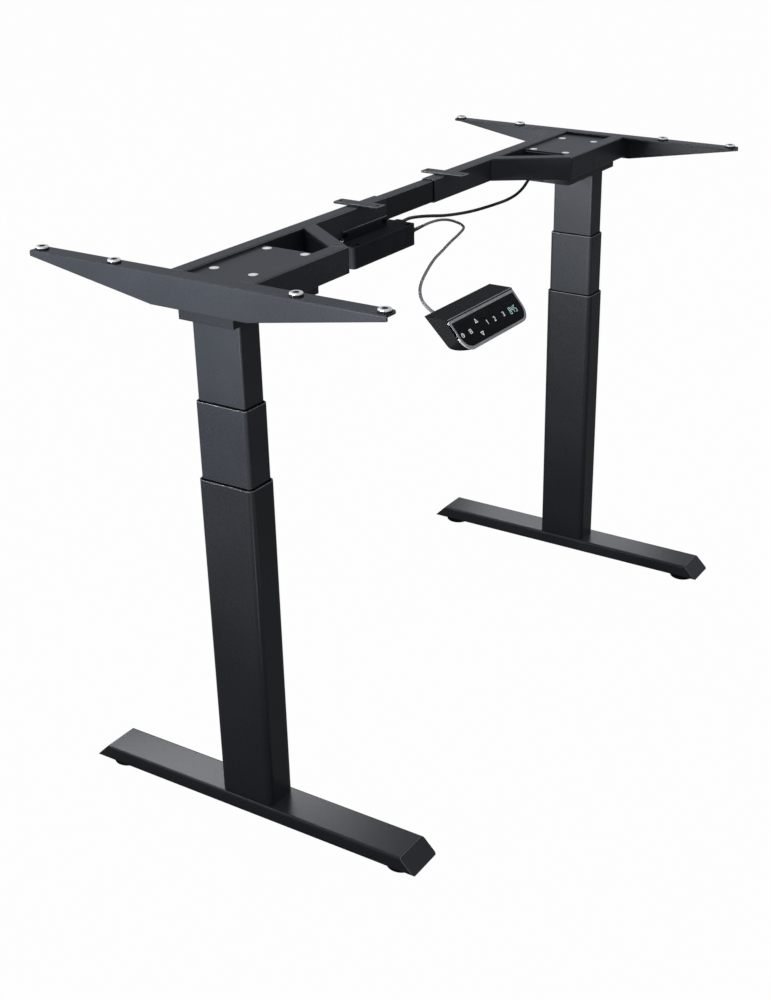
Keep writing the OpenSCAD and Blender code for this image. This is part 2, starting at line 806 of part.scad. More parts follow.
// Four pads that the desktop rests on, each with a screw hole and a lip below the flange
module desktop_pads() {
    color(pad_white)
        for (span = [pad_inner_spacing, pad_outer_spacing]) for (y = [-1, 1])
            translate([pad_x, y * span / 2, 0]) difference() {
                union() {
                    disc(pad_r, frame_top, desk_plane - pad_crown);
                    translate([0, 0, desk_plane - pad_crown])
                        cylinder(r1 = pad_r, r2 = pad_r - pad_crown, h = pad_crown,
                                 $fn = fine);
                    disc(pad_neck_r, frame_top - bracket_t, frame_top);
                    disc(pad_neck_r + 2, frame_top - bracket_t - pad_under_h,
                         frame_top - bracket_t);
                }
                disc(pad_hole_r, frame_top - bracket_t - pad_under_h - overrun,
                     desk_plane + overrun);
            }
}

// Flat tab across the rear rail, with a screw hole near each end
module desktop_tab(inset) {
    color(powder_black)
        translate([-(sleeve_in - inset), rear_rail_y + tab_back, frame_top]) difference() {
            linear_extrude(tab_t) rounded_rect(tab_w, tab_len, tab_corner_r);
            for (y = [-1, 1]) translate([0, y * tab_hole_spacing / 2, 0])
                disc(tab_hole_r, -overrun, tab_t + overrun);
        }
}
tab_back = -4.5;
tab_corner_r = 2;

// Inner bar of the crossbar, a tube that slides in both rear rails
module crossbar_inner() {
    top = frame_top - rail_wall - bar_gap;
    color(powder_black) difference() {
        translate([bar_len / 2, rear_rail_y, top]) rail_bar(bar_len, bar_w, bar_h, bar_edge_r);
        translate([bar_len / 2 + overrun, rear_rail_y, top - bar_wall])
            rail_bar(bar_len + 2 * overrun, bar_w - 2 * bar_wall, bar_h - 2 * bar_wall,
                     bar_edge_r / 2);
    }
}
bar_edge_r = 1.6;

// Control box cover: open below, with the sockets in its right end
module control_box_cover() {
    z0 = box_bottom + box_base_t;
    color(plastic_black) difference() {
        translate([0, 0, z0]) linear_extrude(box_top - z0) box_plan(0);
        difference() {
            translate([0, 0, z0 - overrun]) linear_extrude(box_top - box_wall - z0 + overrun)
                box_plan(box_wall);
            translate([-box_end - socket_block, box_front_y, z0 - 2 * overrun])
                cube([socket_block, box_d, box_h]);
            for (x = [box_left + ear_hole_inset, -box_end - ear_hole_inset])
                translate([x, box_front_y + ear_hole_inset, 0])
                    disc(ear_hole_r + box_wall, z0, box_top);
        }
        socket_cut(handset_socket_y, handset_socket_z, handset_socket, handset_socket);
        for (y = [spare_socket_y, motor_socket_y])
            socket_cut(y, motor_socket_z, motor_socket_w, motor_socket_h);
        socket_cut(mains_y, mains_z, mains_w, mains_h);
        for (x = [box_left + ear_hole_inset, -box_end - ear_hole_inset])
            translate([x, box_front_y + ear_hole_inset, 0])
                disc(ear_hole_r, box_top - ear_hole_depth, box_top + overrun);
        for (inset = [hanger_screw_inset, hanger_len - hanger_screw_inset])
            translate([-hanger_end - inset, hanger_box_screw_y, 0])
                disc(hanger_screw_r + running, box_top - box_wall - overrun, box_top + overrun);
    }
}

// Plan of the control box, drawn in by inset
module box_plan(inset) {
    translate([-box_end - box_len / 2, box_front_y + box_d / 2])
        rounded_rect(box_len - 2 * inset, box_d - 2 * inset, box_corner_r - inset);
}

// Socket recess in the control box's right end, by its centre
module socket_cut(y, z, w, h) {
    translate([-box_end - socket_depth, y - w / 2, box_bottom + z - h / 2])
        cube([socket_depth + overrun, w, h]);
}

// Control box base: a tray with a low rim and four board posts
module control_box_base() {
    color(plastic_black) {
        translate([0, 0, box_bottom]) linear_extrude(box_base_t) box_plan(0);
        for (x = [-1, 1]) for (y = [-1, 1])
            translate([board_x + x * (board_len / 2 - board_edge),
                       box_front_y + box_d / 2 + y * (board_d / 2 - board_edge), 0])
                disc(board_edge / 2, box_bottom + box_base_t / 2,
                     box_bottom + box_base_t + board_lift);
    }
}
board_x = (box_left + box_wall + board_edge - box_end - socket_block - box_wall) / 2;
board_len = box_len - socket_block - 2 * box_wall - 2 * board_edge;
board_d = box_d - 2 * box_wall - 2 * board_edge;

// Circuit board with its transformer, two capacitors and a row of relays
module control_board() {
    z0 = box_bottom + box_base_t + board_lift;
    y0 = box_front_y + box_d / 2;
    color(board_green) translate([board_x - board_len / 2, y0 - board_d / 2, z0])
        cube([board_len, board_d, board_t]);
    color(brass) translate([board_x - board_len / 2 + board_edge, y0 - board_d / 3, z0])
        cube([board_len / 4, board_d / 1.5, board_t + part_h]);
    color(zinc) for (y = [-1, 1]) translate([board_x, y0 + y * board_d / 4, 0])
        disc(board_d / 8, z0, z0 + board_t + part_h);
    color(plastic_black) for (i = [0:2])
        translate([board_x + board_len * (0.16 + 0.1 * i), y0 - board_d / 4, z0])
            cube([board_len * 0.07, board_d / 2, board_t + part_h * 0.8]);
}
part_h = 14;

// Hanger: an angle that hooks under the rear rail and carries the control box
module box_hanger() {
    back = rear_in_y - hanger_t;
    color(powder_black) difference() {
        translate([-hanger_end - hanger_len, 0, box_top]) {
            translate([0, back, 0]) cube([hanger_len, hanger_depth, hanger_t]);
            translate([0, back, 0]) cube([hanger_len, hanger_t, hanger_leaf]);
        }
        for (inset = [hanger_screw_inset, hanger_len - hanger_screw_inset]) {
            translate([-hanger_end - inset, back - overrun, box_top + hanger_screw_z])
                rotate([-90, 0, 0])
                    cylinder(r = hanger_screw_r + running, h = hanger_t + 2 * overrun,
                             $fn = medium);
            translate([-hanger_end - inset, hanger_box_screw_y, 0])
                disc(hanger_screw_r + running, box_top - overrun, box_top + hanger_t
                     + overrun);
        }
    }
}
hanger_box_screw_y = box_front_y + 0.75 * box_d;

// Screws of the hanger: two into the rear rail and two into the control box
module hanger_screws() {
    back = rear_in_y - hanger_t;
    color(zinc) for (inset = [hanger_screw_inset, hanger_len - hanger_screw_inset]) {
        translate([-hanger_end - inset, back, box_top + hanger_screw_z]) {
            rotate([90, 0, 0]) cylinder(r = hanger_head_r, h = hanger_head_h, $fn = medium);
            rotate([-90, 0, 0]) cylinder(r = hanger_screw_r, h = hanger_t, $fn = medium);
        }
        translate([-hanger_end - inset, hanger_box_screw_y, 0]) {
            disc(hanger_head_r, box_top + hanger_t, box_top + hanger_t + hanger_head_h);
            disc(hanger_screw_r, box_top - box_wall, box_top + hanger_t);
        }
    }
}

// Plugs of the handset cable and of the far motor's cable, in their sockets
module cable_plugs() {
    small = handset_socket - 2 * socket_clear;
    wide = motor_socket_w - 2 * socket_clear;
    tall = motor_socket_h - 2 * socket_clear;
    color(plastic_black) {
        translate([-box_end - socket_depth, handset_socket_y - small / 2,
                   box_bottom + handset_socket_z - small / 2])
            cube([socket_depth, small, small]);
        translate([-box_end - socket_depth, motor_socket_y - wide / 2,
                   box_bottom + motor_socket_z - tall / 2])
            cube([socket_depth + plug_out, wide, tall]);
    }
}

// Places the handset's own drawing frame: X along it, Y along the face's slope, Z out
module at_face() {
    translate([handset_center_x, -handset_y - handset_top, desk_plane])
        rotate([90 - handset_lean, 0, 0]) mirror([0, 1, 0]) children();
}

// Outline of the handset's face, its top edge on y = 0, drawn in by inset
module face_outline(inset, top) {
    w = handset_w / 2 - inset;
    low = handset_face - inset;
    r = handset_corner_r - inset;
    translate([-w + top_corner_r, top]) square([2 * w - 2 * top_corner_r, low - r - top]);
    translate([-w, top + top_corner_r]) square([2 * w, low - r - top - top_corner_r]);
    translate([-w + r, low - r - overrun]) square([2 * w - 2 * r, r + overrun]);
    for (x = [-1, 1]) {
        translate([x * (w - r), low - r]) circle(r = r, $fn = fine);
        translate([x * (w - top_corner_r), top + top_corner_r])
            circle(r = top_corner_r, $fn = medium);
    }
}

// Side profile of the handset: flat top, sloping face, rounded belly and back
function belly_point(t) =
    let (a = [-back_run, -back_drop], c = [-handset_top - face_run, -face_drop],
         b = [a[0] - belly, a[1] - belly])
    (1 - t) * (1 - t) * c + 2 * t * (1 - t) * b + t * t * a;
module handset_profile() {
    polygon(concat([[0, 0], [-handset_top, 0]],
                   [for (i = [0:belly_steps]) belly_point(i / belly_steps)]));
}

// Handset case with the seat for its frame and panel
module handset_case() {
    color(plastic_black) difference() {
        intersection() {
            translate([handset_center_x - handset_w / 2, -handset_y, desk_plane])
                rotate([90, 0, 90]) linear_extrude(handset_w) handset_profile();
            at_face() translate([0, 0, -2 * handset_face])
                linear_extrude(2 * handset_face + overrun)
                    union() {
                        face_outline(0, 0);
                        translate([-handset_w / 2, -handset_face])
                            square([handset_w, handset_face + top_corner_r * 2]);
                    }
        }
        at_face() translate([-handset_w, bezel_top, -bezel_t])
            cube([2 * handset_w, 2 * handset_face, bezel_t + overrun]);
    }
    color(plastic_black) at_port() translate([0, 0, -overrun])
        cylinder(r = port_r, h = port_h + overrun, $fn = medium);
}

// Cable port on the sloping back of the handset, its axis square to the back
module at_port() {
    translate([handset_center_x, -handset_y - back_run * cable_port_share,
               desk_plane - back_drop * cable_port_share])
        rotate([-90 - atan2(back_drop, back_run), 0, 0]) children();
}

// Metal frame round the handset's panel
module handset_bezel() {
    color(zinc) at_face() translate([0, 0, -bezel_t]) linear_extrude(bezel_t) difference() {
        face_outline(0, bezel_top);
        face_outline(bezel_w, bezel_top + bezel_w);
    }
}

// Glossy touch panel of the handset
module handset_panel() {
    color(plastic_black) at_face() translate([0, 0, -bezel_t])
        linear_extrude(bezel_t - panel_below)
            face_outline(bezel_w + panel_gap, bezel_top + bezel_w + panel_gap);
}

// Points of a smooth curve through a route, route_steps to each span
function spline(p0, p1, p2, p3, t) =
    0.5 * ((2 * p1) + (p2 - p0) * t + (2 * p0 - 5 * p1 + 4 * p2 - p3) * t * t
           + (3 * p1 - p0 - 3 * p2 + p3) * t * t * t);
function smooth_route(route) =
    let (last = len(route) - 1)
    concat([for (i = [0:last - 1]) for (k = [0:route_steps - 1])
                spline(route[max(i - 1, 0)], route[i], route[i + 1],
                       route[min(i + 2, last)], k / route_steps)],
           [route[last]]);

// Unit vector, and the frame carried along a route without twisting
function unit(v) = v / norm(v);
function heading(p, i) = unit(p[min(i + 1, len(p) - 1)] - p[max(i - 1, 0)]);
function square_to(v, t) = unit(v - (v * t) * t);
function carried(p, i, v) =
    i == 0 ? [v] : let (rest = carried(p, i - 1, v)) concat(rest,
        [square_to(rest[i - 1], heading(p, i))]);

// Cable: one tube swept along a route
module cable(route, r) {
    p = smooth_route(route);
    n = len(p);
    sides = carried(p, n - 1, square_to([0, 0, 1], heading(p, 0)));
    rings = [for (i = [0:n - 1]) for (k = [0:cable_sides - 1])
        let (a = 360 * k / cable_sides, side = sides[i], up = cross(heading(p, i), side))
        p[i] + r * (cos(a) * side + sin(a) * up)];
    start_cap = [for (k = [0:cable_sides - 1]) cable_sides - 1 - k];
    end_cap = [for (k = [0:cable_sides - 1]) (n - 1) * cable_sides + k];
    walls = [for (i = [0:n - 2]) for (k = [0:cable_sides - 1])
        let (a = i * cable_sides + k, b = i * cable_sides + (k + 1) % cable_sides)
        for (face = [[a, b, b + cable_sides], [a, b + cable_sides, a + cable_sides]]) face];
    polyhedron(points = rings, faces = concat([start_cap], walls, [end_cap]));
}

// Handset cable, hanging free from the control box to the handset
module handset_cable() {
    color(plastic_black) cable(handset_route, handset_cable_r);
}

// Far motor's cable, hanging free under the crossbar
module motor_cable() {
    color(plastic_black) cable(motor_route, motor_cable_r);
}

on_side(left) foot();  // left_foot
on_side(left) leveller(leveller_y);  // left_leveller_rear
on_side(left) leveller(-leveller_y);  // left_leveller_front
on_side(left) column_bolts();  // left_column_bolts
on_side(left) column_outer();  // left_column_outer
on_side(left) outer_guide();  // left_outer_guide
on_side(left) support_tube();  // left_support_tube
on_side(left) column_middle();  // left_column_middle
on_side(left) middle_glides();  // left_middle_glides
on_side(left) lift_tube();  // left_lift_tube
on_side(left) lower_spindle();  // left_lower_spindle
on_side(left) column_inner();  // left_column_inner
on_side(left) inner_glide();  // left_inner_glide
on_side(left) upper_spindle();  // left_upper_spindle
on_side(left) motor();  // left_motor
on_side(left) motor_housing();  // left_motor_housing
on_side(left) mount_plate();  // left_mount_plate
on_side(left) head_screws();  // left_head_screws
on_side(left) rear_rail();  // left_rear_rail
on_side(left) front_rail();  // left_front_rail
on_side(left) diagonal_rail();  // left_diagonal_rail
on_side(left) side_bracket();  // left_side_bracket
on_side(left) desktop_pads();  // left_desktop_pads
on_side(left) desktop_tab(left_tab_inset);  // left_desktop_tab
on_side(right) foot();  // right_foot
on_side(right) leveller(leveller_y);  // right_leveller_rear
on_side(right) leveller(-leveller_y);  // right_leveller_front
on_side(right) column_bolts();  // right_column_bolts
on_side(right) column_outer();  // right_column_outer
on_side(right) outer_guide();  // right_outer_guide
on_side(right) support_tube();  // right_support_tube
on_side(right) column_middle();  // right_column_middle
on_side(right) middle_glides();  // right_middle_glides
on_side(right) lift_tube();  // right_lift_tube
on_side(right) lower_spindle();  // right_lower_spindle
on_side(right) column_inner();  // right_column_inner
on_side(right) inner_glide();  // right_inner_glide
on_side(right) upper_spindle();  // right_upper_spindle
on_side(right) motor();  // right_motor
on_side(right) motor_housing();  // right_motor_housing
on_side(right) mount_plate();  // right_mount_plate
on_side(right) head_screws();  // right_head_screws
on_side(right) rear_rail();  // right_rear_rail
on_side(right) front_rail();  // right_front_rail
on_side(right) diagonal_rail();  // right_diagonal_rail
on_side(right) side_bracket();  // right_side_bracket
on_side(right) desktop_pads();  // right_desktop_pads
on_side(right) desktop_tab(right_tab_inset);  // right_desktop_tab
crossbar_inner();
control_box_cover();
control_box_base();
control_board();
box_hanger();
hanger_screws();
cable_plugs();
handset_case();
handset_bezel();
handset_panel();
handset_cable();
motor_cable();
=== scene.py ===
import json
from math import cos, pi, radians, sin

import bmesh
import bpy
from mathutils import Matrix, Vector


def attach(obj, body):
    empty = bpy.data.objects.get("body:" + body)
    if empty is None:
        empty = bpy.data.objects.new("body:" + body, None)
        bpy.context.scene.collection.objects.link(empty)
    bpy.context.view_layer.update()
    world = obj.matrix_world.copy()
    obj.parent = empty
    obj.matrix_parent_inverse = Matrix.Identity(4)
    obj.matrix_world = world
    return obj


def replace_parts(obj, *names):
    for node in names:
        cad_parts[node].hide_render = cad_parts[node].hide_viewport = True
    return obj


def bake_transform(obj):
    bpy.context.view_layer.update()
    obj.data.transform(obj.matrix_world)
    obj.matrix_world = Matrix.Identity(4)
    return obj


# Looks of a height-adjustable desk frame. The drawing's solids stay where they are and get
# their finishes here. Cables, pads, screws, marks and trim are drawn again in finer meshes.

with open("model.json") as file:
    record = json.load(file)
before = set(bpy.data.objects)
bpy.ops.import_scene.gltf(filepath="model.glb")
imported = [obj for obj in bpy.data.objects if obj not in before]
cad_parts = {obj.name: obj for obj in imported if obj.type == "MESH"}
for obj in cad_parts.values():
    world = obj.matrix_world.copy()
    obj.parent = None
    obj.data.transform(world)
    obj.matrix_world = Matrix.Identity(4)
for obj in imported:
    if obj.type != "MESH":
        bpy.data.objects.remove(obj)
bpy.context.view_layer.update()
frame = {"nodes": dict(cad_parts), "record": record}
nodes = frame["nodes"]
SIDES = {"left": -1, "right": 1}

# Sizes that the drawing also has, in metres and, for the lean of the handset's face, degrees
LEG_X = 0.544
HEAD_Y = -0.00475
FRAME_TOP = 0.881
PLATE_TOP = 0.8765
PLATE_SCREW_IN, PLATE_SCREW_OUT, PLATE_SCREW_Y = 0.0178, 0.1362, 0.0334
PAD_X = 0.0425
PAD_SPANS = (0.308, 0.578)
PAD_R, PAD_HOLE_R = 0.010, 0.0035
HANDSET_X, HANDSET_BACK_Y, HANDSET_TOP_Z = -0.511, -0.349, 0.886
HANDSET_W, HANDSET_TOP_D, HANDSET_FACE, HANDSET_LEAN = 0.161, 0.032, 0.046, 40
HANDSET_CORNER_R = 0.0200
PANEL_BELOW = 0.0006
BOX_TOP = 0.835
COVER_SCREW_XS, COVER_SCREW_Y = (-0.1972, -0.0523), 0.0168


# Camera

# Fitted to the photograph: place in metres, angles in degrees, lens and sensor in millimetres
CAMERA_AT = (-2.0427, -1.2511, 1.4289)
CAMERA_DOWN, CAMERA_HEADING = 24.663, -59.483
LENS_MM, SENSOR_MM = 52.92, 36
SHIFT_X, SHIFT_Y = -0.072, -0.0023
FARTHEST_SEEN = 60


def add_camera():
    """The photograph's viewpoint, in front of the left leg and looking along the crossbar."""
    data = bpy.data.cameras.new("photo_camera")
    data.sensor_width = SENSOR_MM
    data.lens = LENS_MM
    data.shift_x, data.shift_y = SHIFT_X, SHIFT_Y
    data.clip_end = FARTHEST_SEEN
    camera = bpy.data.objects.new("photo_camera", data)
    camera.location = CAMERA_AT
    camera.rotation_euler = (radians(90 - CAMERA_DOWN), 0, radians(CAMERA_HEADING))
    bpy.context.collection.objects.link(camera)
    bpy.context.scene.camera = camera


add_camera()


# Small tools for materials

def linear(hex_colour):
    """An sRGB hex colour as Blender's linear colour with alpha."""
    parts = [int(hex_colour[i:i + 2], 16) / 255 for i in (1, 3, 5)]
    return tuple(c / 12.92 if c <= 0.04045 else ((c + 0.055) / 1.055) ** 2.4 for c in parts) + (1,)


def per_mm(size_mm):
    """Texture scale that gives a pattern of that many millimetres."""
    return 1000 / size_mm


def node(tree, kind, settings=None, values=None, links=None):
    """Adds a node, its settings, its input values and the sockets that feed it."""
    made = tree.nodes.new(kind)
    for key, value in (settings or {}).items():
        setattr(made, key, value)
    for key, value in (values or {}).items():
        made.inputs[key].default_value = value
    for key, source in (links or {}).items():
        tree.links.new(source, made.inputs[key])
    return made


def new_material(name):
    """An empty material with its output, and the object's own coordinates in metres."""
    material = bpy.data.materials.new(name)
    material.use_nodes = True
    tree = material.node_tree
    tree.nodes.clear()
    output = node(tree, "ShaderNodeOutputMaterial")
    place = node(tree, "ShaderNodeTexCoord").outputs["Object"]
    return material, tree, output, place


def ramp(tree, source, low, high):
    """Spreads a texture's value, which keeps to the middle of its range, between two numbers."""
    return node(tree, "ShaderNodeMapRange", values={"From Min": 0.3, "From Max": 0.7, "To Min": low,
                "To Max": high}, links={"Value": source}).outputs["Result"]


def tint(tree, source, dark, light):
    """Spreads a texture's value between two colours."""
    made = node(tree, "ShaderNodeMix", {"data_type": "RGBA"}, links={"Factor": source})
    made.inputs["A"].default_value = linear(dark)
    made.inputs["B"].default_value = linear(light)
    return made.outputs["Result"]


def noise(tree, place, size_mm, detail=2.0, rough=0.5, stretch=None):
    """Noise of that size in millimetres, drawn out along an axis where stretch is given."""
    where = place
    if stretch:
        where = node(tree, "ShaderNodeMapping", values={"Scale": stretch},
                     links={"Vector": place}).outputs["Vector"]
    return node(tree, "ShaderNodeTexNoise", values={"Scale": per_mm(size_mm), "Detail": detail,
                "Roughness": rough}, links={"Vector": where}).outputs["Fac"]


def bump(tree, height, depth_mm, strength=1.0, normal=None):
    """Surface relief of that depth in millimetres."""
    links = {"Height": height}
    if normal:
        links["Normal"] = normal
    return node(tree, "ShaderNodeBump", values={"Strength": strength, "Distance": depth_mm / 1000},
                links=links).outputs["Normal"]


EDGE_SAMPLES = 6


def soft_edge(tree, radius_mm):
    """The rounding that a coat of paint or a mould gives to a sharp edge."""
    return node(tree, "ShaderNodeBevel", {"samples": EDGE_SAMPLES},
                {"Radius": radius_mm / 1000}).outputs["Normal"]


def painted_edge_line(tree, edge, colour, painted_line_colour, most=1.0):
    """A painted line along the sharp edges that face up, in the given colour: a painted highlight
    where it is lighter than the surface, painted shade where it is darker.
    """
    flat = node(tree, "ShaderNodeNewGeometry").outputs["Normal"]
    turned_by = node(tree, "ShaderNodeVectorMath", {"operation": "DOT_PRODUCT"},
                     links={0: edge, 1: flat}).outputs["Value"]
    # The line starts where the softened face turns by 8 degrees and is full at 33 degrees.
    share = node(tree, "ShaderNodeMapRange", values={"From Min": 0.99, "From Max": 0.84,
                 "To Min": 0, "To Max": most}, links={"Value": turned_by}).outputs["Result"]
    height = node(tree, "ShaderNodeSeparateXYZ", links={"Vector": edge}).outputs["Z"]
    # It starts at 6 degrees above level and is full at 30 degrees.
    upward = node(tree, "ShaderNodeMapRange", values={"From Min": 0.1, "From Max": 0.5},
                  links={"Value": height}).outputs["Result"]
    share = node(tree, "ShaderNodeMath", {"operation": "MULTIPLY"},
                 links={0: share, 1: upward}).outputs[0]
    mix = node(tree, "ShaderNodeMix", {"data_type": "RGBA"}, links={"Factor": share})
    tree.links.new(colour, mix.inputs["A"])
    mix.inputs["B"].default_value = linear(painted_line_colour)
    return mix.outputs["Result"]


# Materials, each named for the real finish

def powder_coated_steel(name="black_powder_coat", dark="#33363c", light="#3d4046",
                        edges="#e6e9ec"):
    """Mild steel under a baked polyester powder coat: satin graphite black with a bluish cast,
    an orange peel of about 2.5 mm, a fine grit in the gloss and slightly softened edges."""
    material, tree, output, place = new_material(name)
    cloud = noise(tree, place, 160, 3)
    peel = noise(tree, place, 2.5, 2)
    # Real powder grit is about 0.1 mm, drawn as 0.9 mm so that it shows.
    grit = noise(tree, place, 0.9, 3, 0.6)
    edge = soft_edge(tree, 1.7)
    relief = bump(tree, peel, 0.03, 0.30, edge)
    relief = bump(tree, grit, 0.02, 0.30, relief)
    # Painted highlight: a line in the edges colour along the edges that face up; a dark edges colour
    # paints shade there instead.
    colour = painted_edge_line(tree, edge, tint(tree, ramp(tree, cloud, 0, 1), dark, light), edges)
    shader = node(tree, "ShaderNodeBsdfPrincipled", values={"Specular IOR Level": 0.5},
                  links={"Base Color": colour,
                         "Roughness": ramp(tree, grit, 0.24, 0.32), "Normal": relief})
    tree.links.new(shader.outputs["BSDF"], output.inputs["Surface"])
    return material


def moulded_abs(name, dark, light, rough, grain_mm=1.1, depth_mm=0.05, shine=0.4,
                painted_line_colour="#7b7d81"):
    """Injection-moulded ABS with a spark-eroded grain, which dulls the gloss evenly."""
    material, tree, output, place = new_material(name)
    grain = noise(tree, place, grain_mm, 2, 0.6)
    flow = noise(tree, place, 45, 2)
    edge = soft_edge(tree, 1.1)
    relief = bump(tree, grain, depth_mm, 0.5, edge)
    # Painted highlight: the edges that face up get a lighter line in the given edge colour, mixed
    # into the base colour.
    colour = tint(tree, ramp(tree, flow, 0, 1), dark, light)
    shader = node(tree, "ShaderNodeBsdfPrincipled",
                  values={"Specular IOR Level": shine, "IOR": 1.54},
                  links={"Base Color": painted_edge_line(tree, edge, colour, painted_line_colour, 0.7),
                         "Roughness": ramp(tree, grain, rough - 0.05, rough + 0.08),
                         "Normal": relief})
    tree.links.new(shader.outputs["BSDF"], output.inputs["Surface"])
    return material


def metal(name, dark, light, rough, grain_mm, stretch, depth_mm=0.02, metallic=1.0):
    """Bare or plated metal whose grain runs one way and breaks up the reflection."""
    material, tree, output, place = new_material(name)
    grain = noise(tree, place, grain_mm, 3, 0.6, stretch)
    bloom = noise(tree, place, 9, 2)
    relief = bump(tree, grain, depth_mm, 0.4, soft_edge(tree, 0.3))
    shader = node(tree, "ShaderNodeBsdfPrincipled", values={"Metallic": metallic},
                  links={"Base Color": tint(tree, ramp(tree, bloom, 0, 1), dark, light),
                         "Roughness": ramp(tree, grain, rough - 0.06, rough + 0.08),
                         "Normal": relief})
    tree.links.new(shader.outputs["BSDF"], output.inputs["Surface"])
    return material


def bright_nickel(name="tumbled_nickel", glow=0.22):
    """Tumbled nickel plate, nearly white under studio lamps. The plain dim world has no lamp for it
    to mirror from every side, so a little light of its own stands in for that."""
    material, tree, output, place = new_material(name)
    grain = noise(tree, place, 0.6, 3, 0.6)
    bloom = noise(tree, place, 5, 2)
    colour = tint(tree, ramp(tree, bloom, 0, 1), "#dfe1e4", "#f6f7f8")
    shader = node(tree, "ShaderNodeBsdfPrincipled",
                  values={"Metallic": 0.55, "Emission Strength": glow},
                  links={"Base Color": colour, "Emission Color": colour,
                         "Roughness": ramp(tree, grain, 0.30, 0.44),
                         "Normal": bump(tree, grain, 0.02, 0.4, soft_edge(tree, 0.3))})
    tree.links.new(shader.outputs["BSDF"], output.inputs["Surface"])
    return material


def touch_panel():
    """Back-painted acrylic touch panel: deep black with a hard clear gloss and faint wipe marks."""
    material, tree, output, place = new_material("acrylic_touch_panel")
    wipe = noise(tree, place, 14, 3, 0.6, (1, 4, 4))
    shader = node(tree, "ShaderNodeBsdfPrincipled",
                  values={"IOR": 1.49, "Specular IOR Level": 0.09},
                  links={"Base Color": tint(tree, ramp(tree, wipe, 0, 1), "#040506", "#08090a"),
                         "Roughness": ramp(tree, wipe, 0.10, 0.18)})
    tree.links.new(shader.outputs["BSDF"], output.inputs["Surface"])
    return material


def lit_mark(name, colour, strength):
    """A mark of translucent ink with a light behind it, a little uneven like the real diffuser."""
    material, tree, output, place = new_material(name)
    uneven = noise(tree, place, 1.6, 2)
    glow = node(tree, "ShaderNodeBsdfPrincipled",
                values={"Roughness": 0.35, "Emission Strength": strength},
                links={"Base Color": tint(tree, ramp(tree, uneven, 0, 1), colour, "#ffffff"),
                       "Emission Color": tint(tree, ramp(tree, uneven, 0, 0.5), colour, "#ffffff")})
    tree.links.new(glow.outputs["BSDF"], output.inputs["Surface"])
    return material


def foot_rubber(name="moulded_foot_rubber"):
    """Moulded synthetic rubber: dull black, with a dusty bloom and a fine skin."""
    material, tree, output, place = new_material(name)
    skin = noise(tree, place, 0.8, 3, 0.65)
    dust = noise(tree, place, 12, 3, 0.6)
    shader = node(tree, "ShaderNodeBsdfPrincipled",
                  values={"Specular IOR Level": 0.3, "Sheen Weight": 0.12, "Sheen Roughness": 0.5},
                  links={"Base Color": tint(tree, ramp(tree, dust, 0, 1), "#0c0c0d", "#191a1b"),
                         "Roughness": ramp(tree, skin, 0.66, 0.82),
                         "Normal": bump(tree, skin, 0.08, 0.5)})
    tree.links.new(shader.outputs["BSDF"], output.inputs["Surface"])
    return material


def cable_pvc(name, dark, light):
    """Extruded PVC sheath: smooth and glossy, with the slight ripple of the wires in it."""
    material, tree, output, place = new_material(name)
    ripple = noise(tree, place, 40, 1)
    shader = node(tree, "ShaderNodeBsdfPrincipled",
                  values={"IOR": 1.53, "Specular IOR Level": 0.5},
                  links={"Base Color": tint(tree, ramp(tree, ripple, 0, 1), dark, light),
                         "Roughness": ramp(tree, ripple, 0.24, 0.34),
                         "Normal": bump(tree, ripple, 0.1, 0.1)})
    tree.links.new(shader.outputs["BSDF"], output.inputs["Surface"])
    return material


def circuit_board():
    """Glass-epoxy board under green solder resist, with the woven glass just showing."""
    material, tree, output, place = new_material("green_circuit_board")
    weave = node(tree, "ShaderNodeTexChecker", values={"Scale": per_mm(1.2)},
                 links={"Vector": place}).outputs["Fac"]
    shader = node(tree, "ShaderNodeBsdfPrincipled", values={"Roughness": 0.32},
                  links={"Base Color": tint(tree, weave, "#24533a", "#2f6345"),
                         "Normal": bump(tree, weave, 0.03, 0.3)})
    tree.links.new(shader.outputs["BSDF"], output.inputs["Surface"])
    return material


# The finish of each slot in the record
FINISH = {
    "black_powder_coat": powder_coated_steel(),
    "bare_steel": metal("drawn_mild_steel", "#85898e", "#9da1a6", 0.38, 0.7, (1, 1, 0.05)),
    "zinc_plated_steel": metal("bright_zinc_plate", "#c9ccd1", "#e6e8eb", 0.26, 0.6, (1, 1, 1)),
    "black_plastic": moulded_abs("moulded_black_abs", "#151619", "#1d1e22", 0.44),
    "white_nylon_pad": bright_nickel(),
    "circuit_board": circuit_board(),
    "silver_frame": metal("satin_silver_paint", "#b4b6b9", "#cfd0d2", 0.5, 0.5, (0.1, 1, 1),
                          0.003, 0.25),
    "glossy_black_panel": touch_panel(),
    "cable_sheath": cable_pvc("extruded_black_pvc_sheath", "#08080a", "#101114"),
    "foot_rubber": foot_rubber(),
    "black_nylon": moulded_abs("black_glide_nylon", "#0f1012", "#17181a", 0.5, 1.6, 0.03),
}
# Finishes of single pieces that differ from the rest of their slot
BOX_ABS = moulded_abs("grained_box_abs", "#303136", "#3b3c42", 0.42, 1.3, 0.04, 0.06)
HANDSET_ABS = moulded_abs("fine_grained_handset_abs", "#0c0d0f", "#121315", 0.5, 0.9, 0.03, 0.12,
                          "#1a1b1e")
# Nearly black: on the guide lips it is partly painted shade for the gap above each rim, on the cover
# screws it is their own black.
BLACK_LIP = moulded_abs("black_lip_nylon", "#050506", "#08090a", 0.6, 1.6, 0.02, 0.02, "#08090a")
# The handset cable's light grey is partly its own dark grey and partly a painted reflection of the
# white surroundings on its glossy sheath.
GREY_SHEATH_AND_SHEEN = cable_pvc("grey_pvc_sheath_painted_sheen", "#8b8c90", "#a3a4a8")
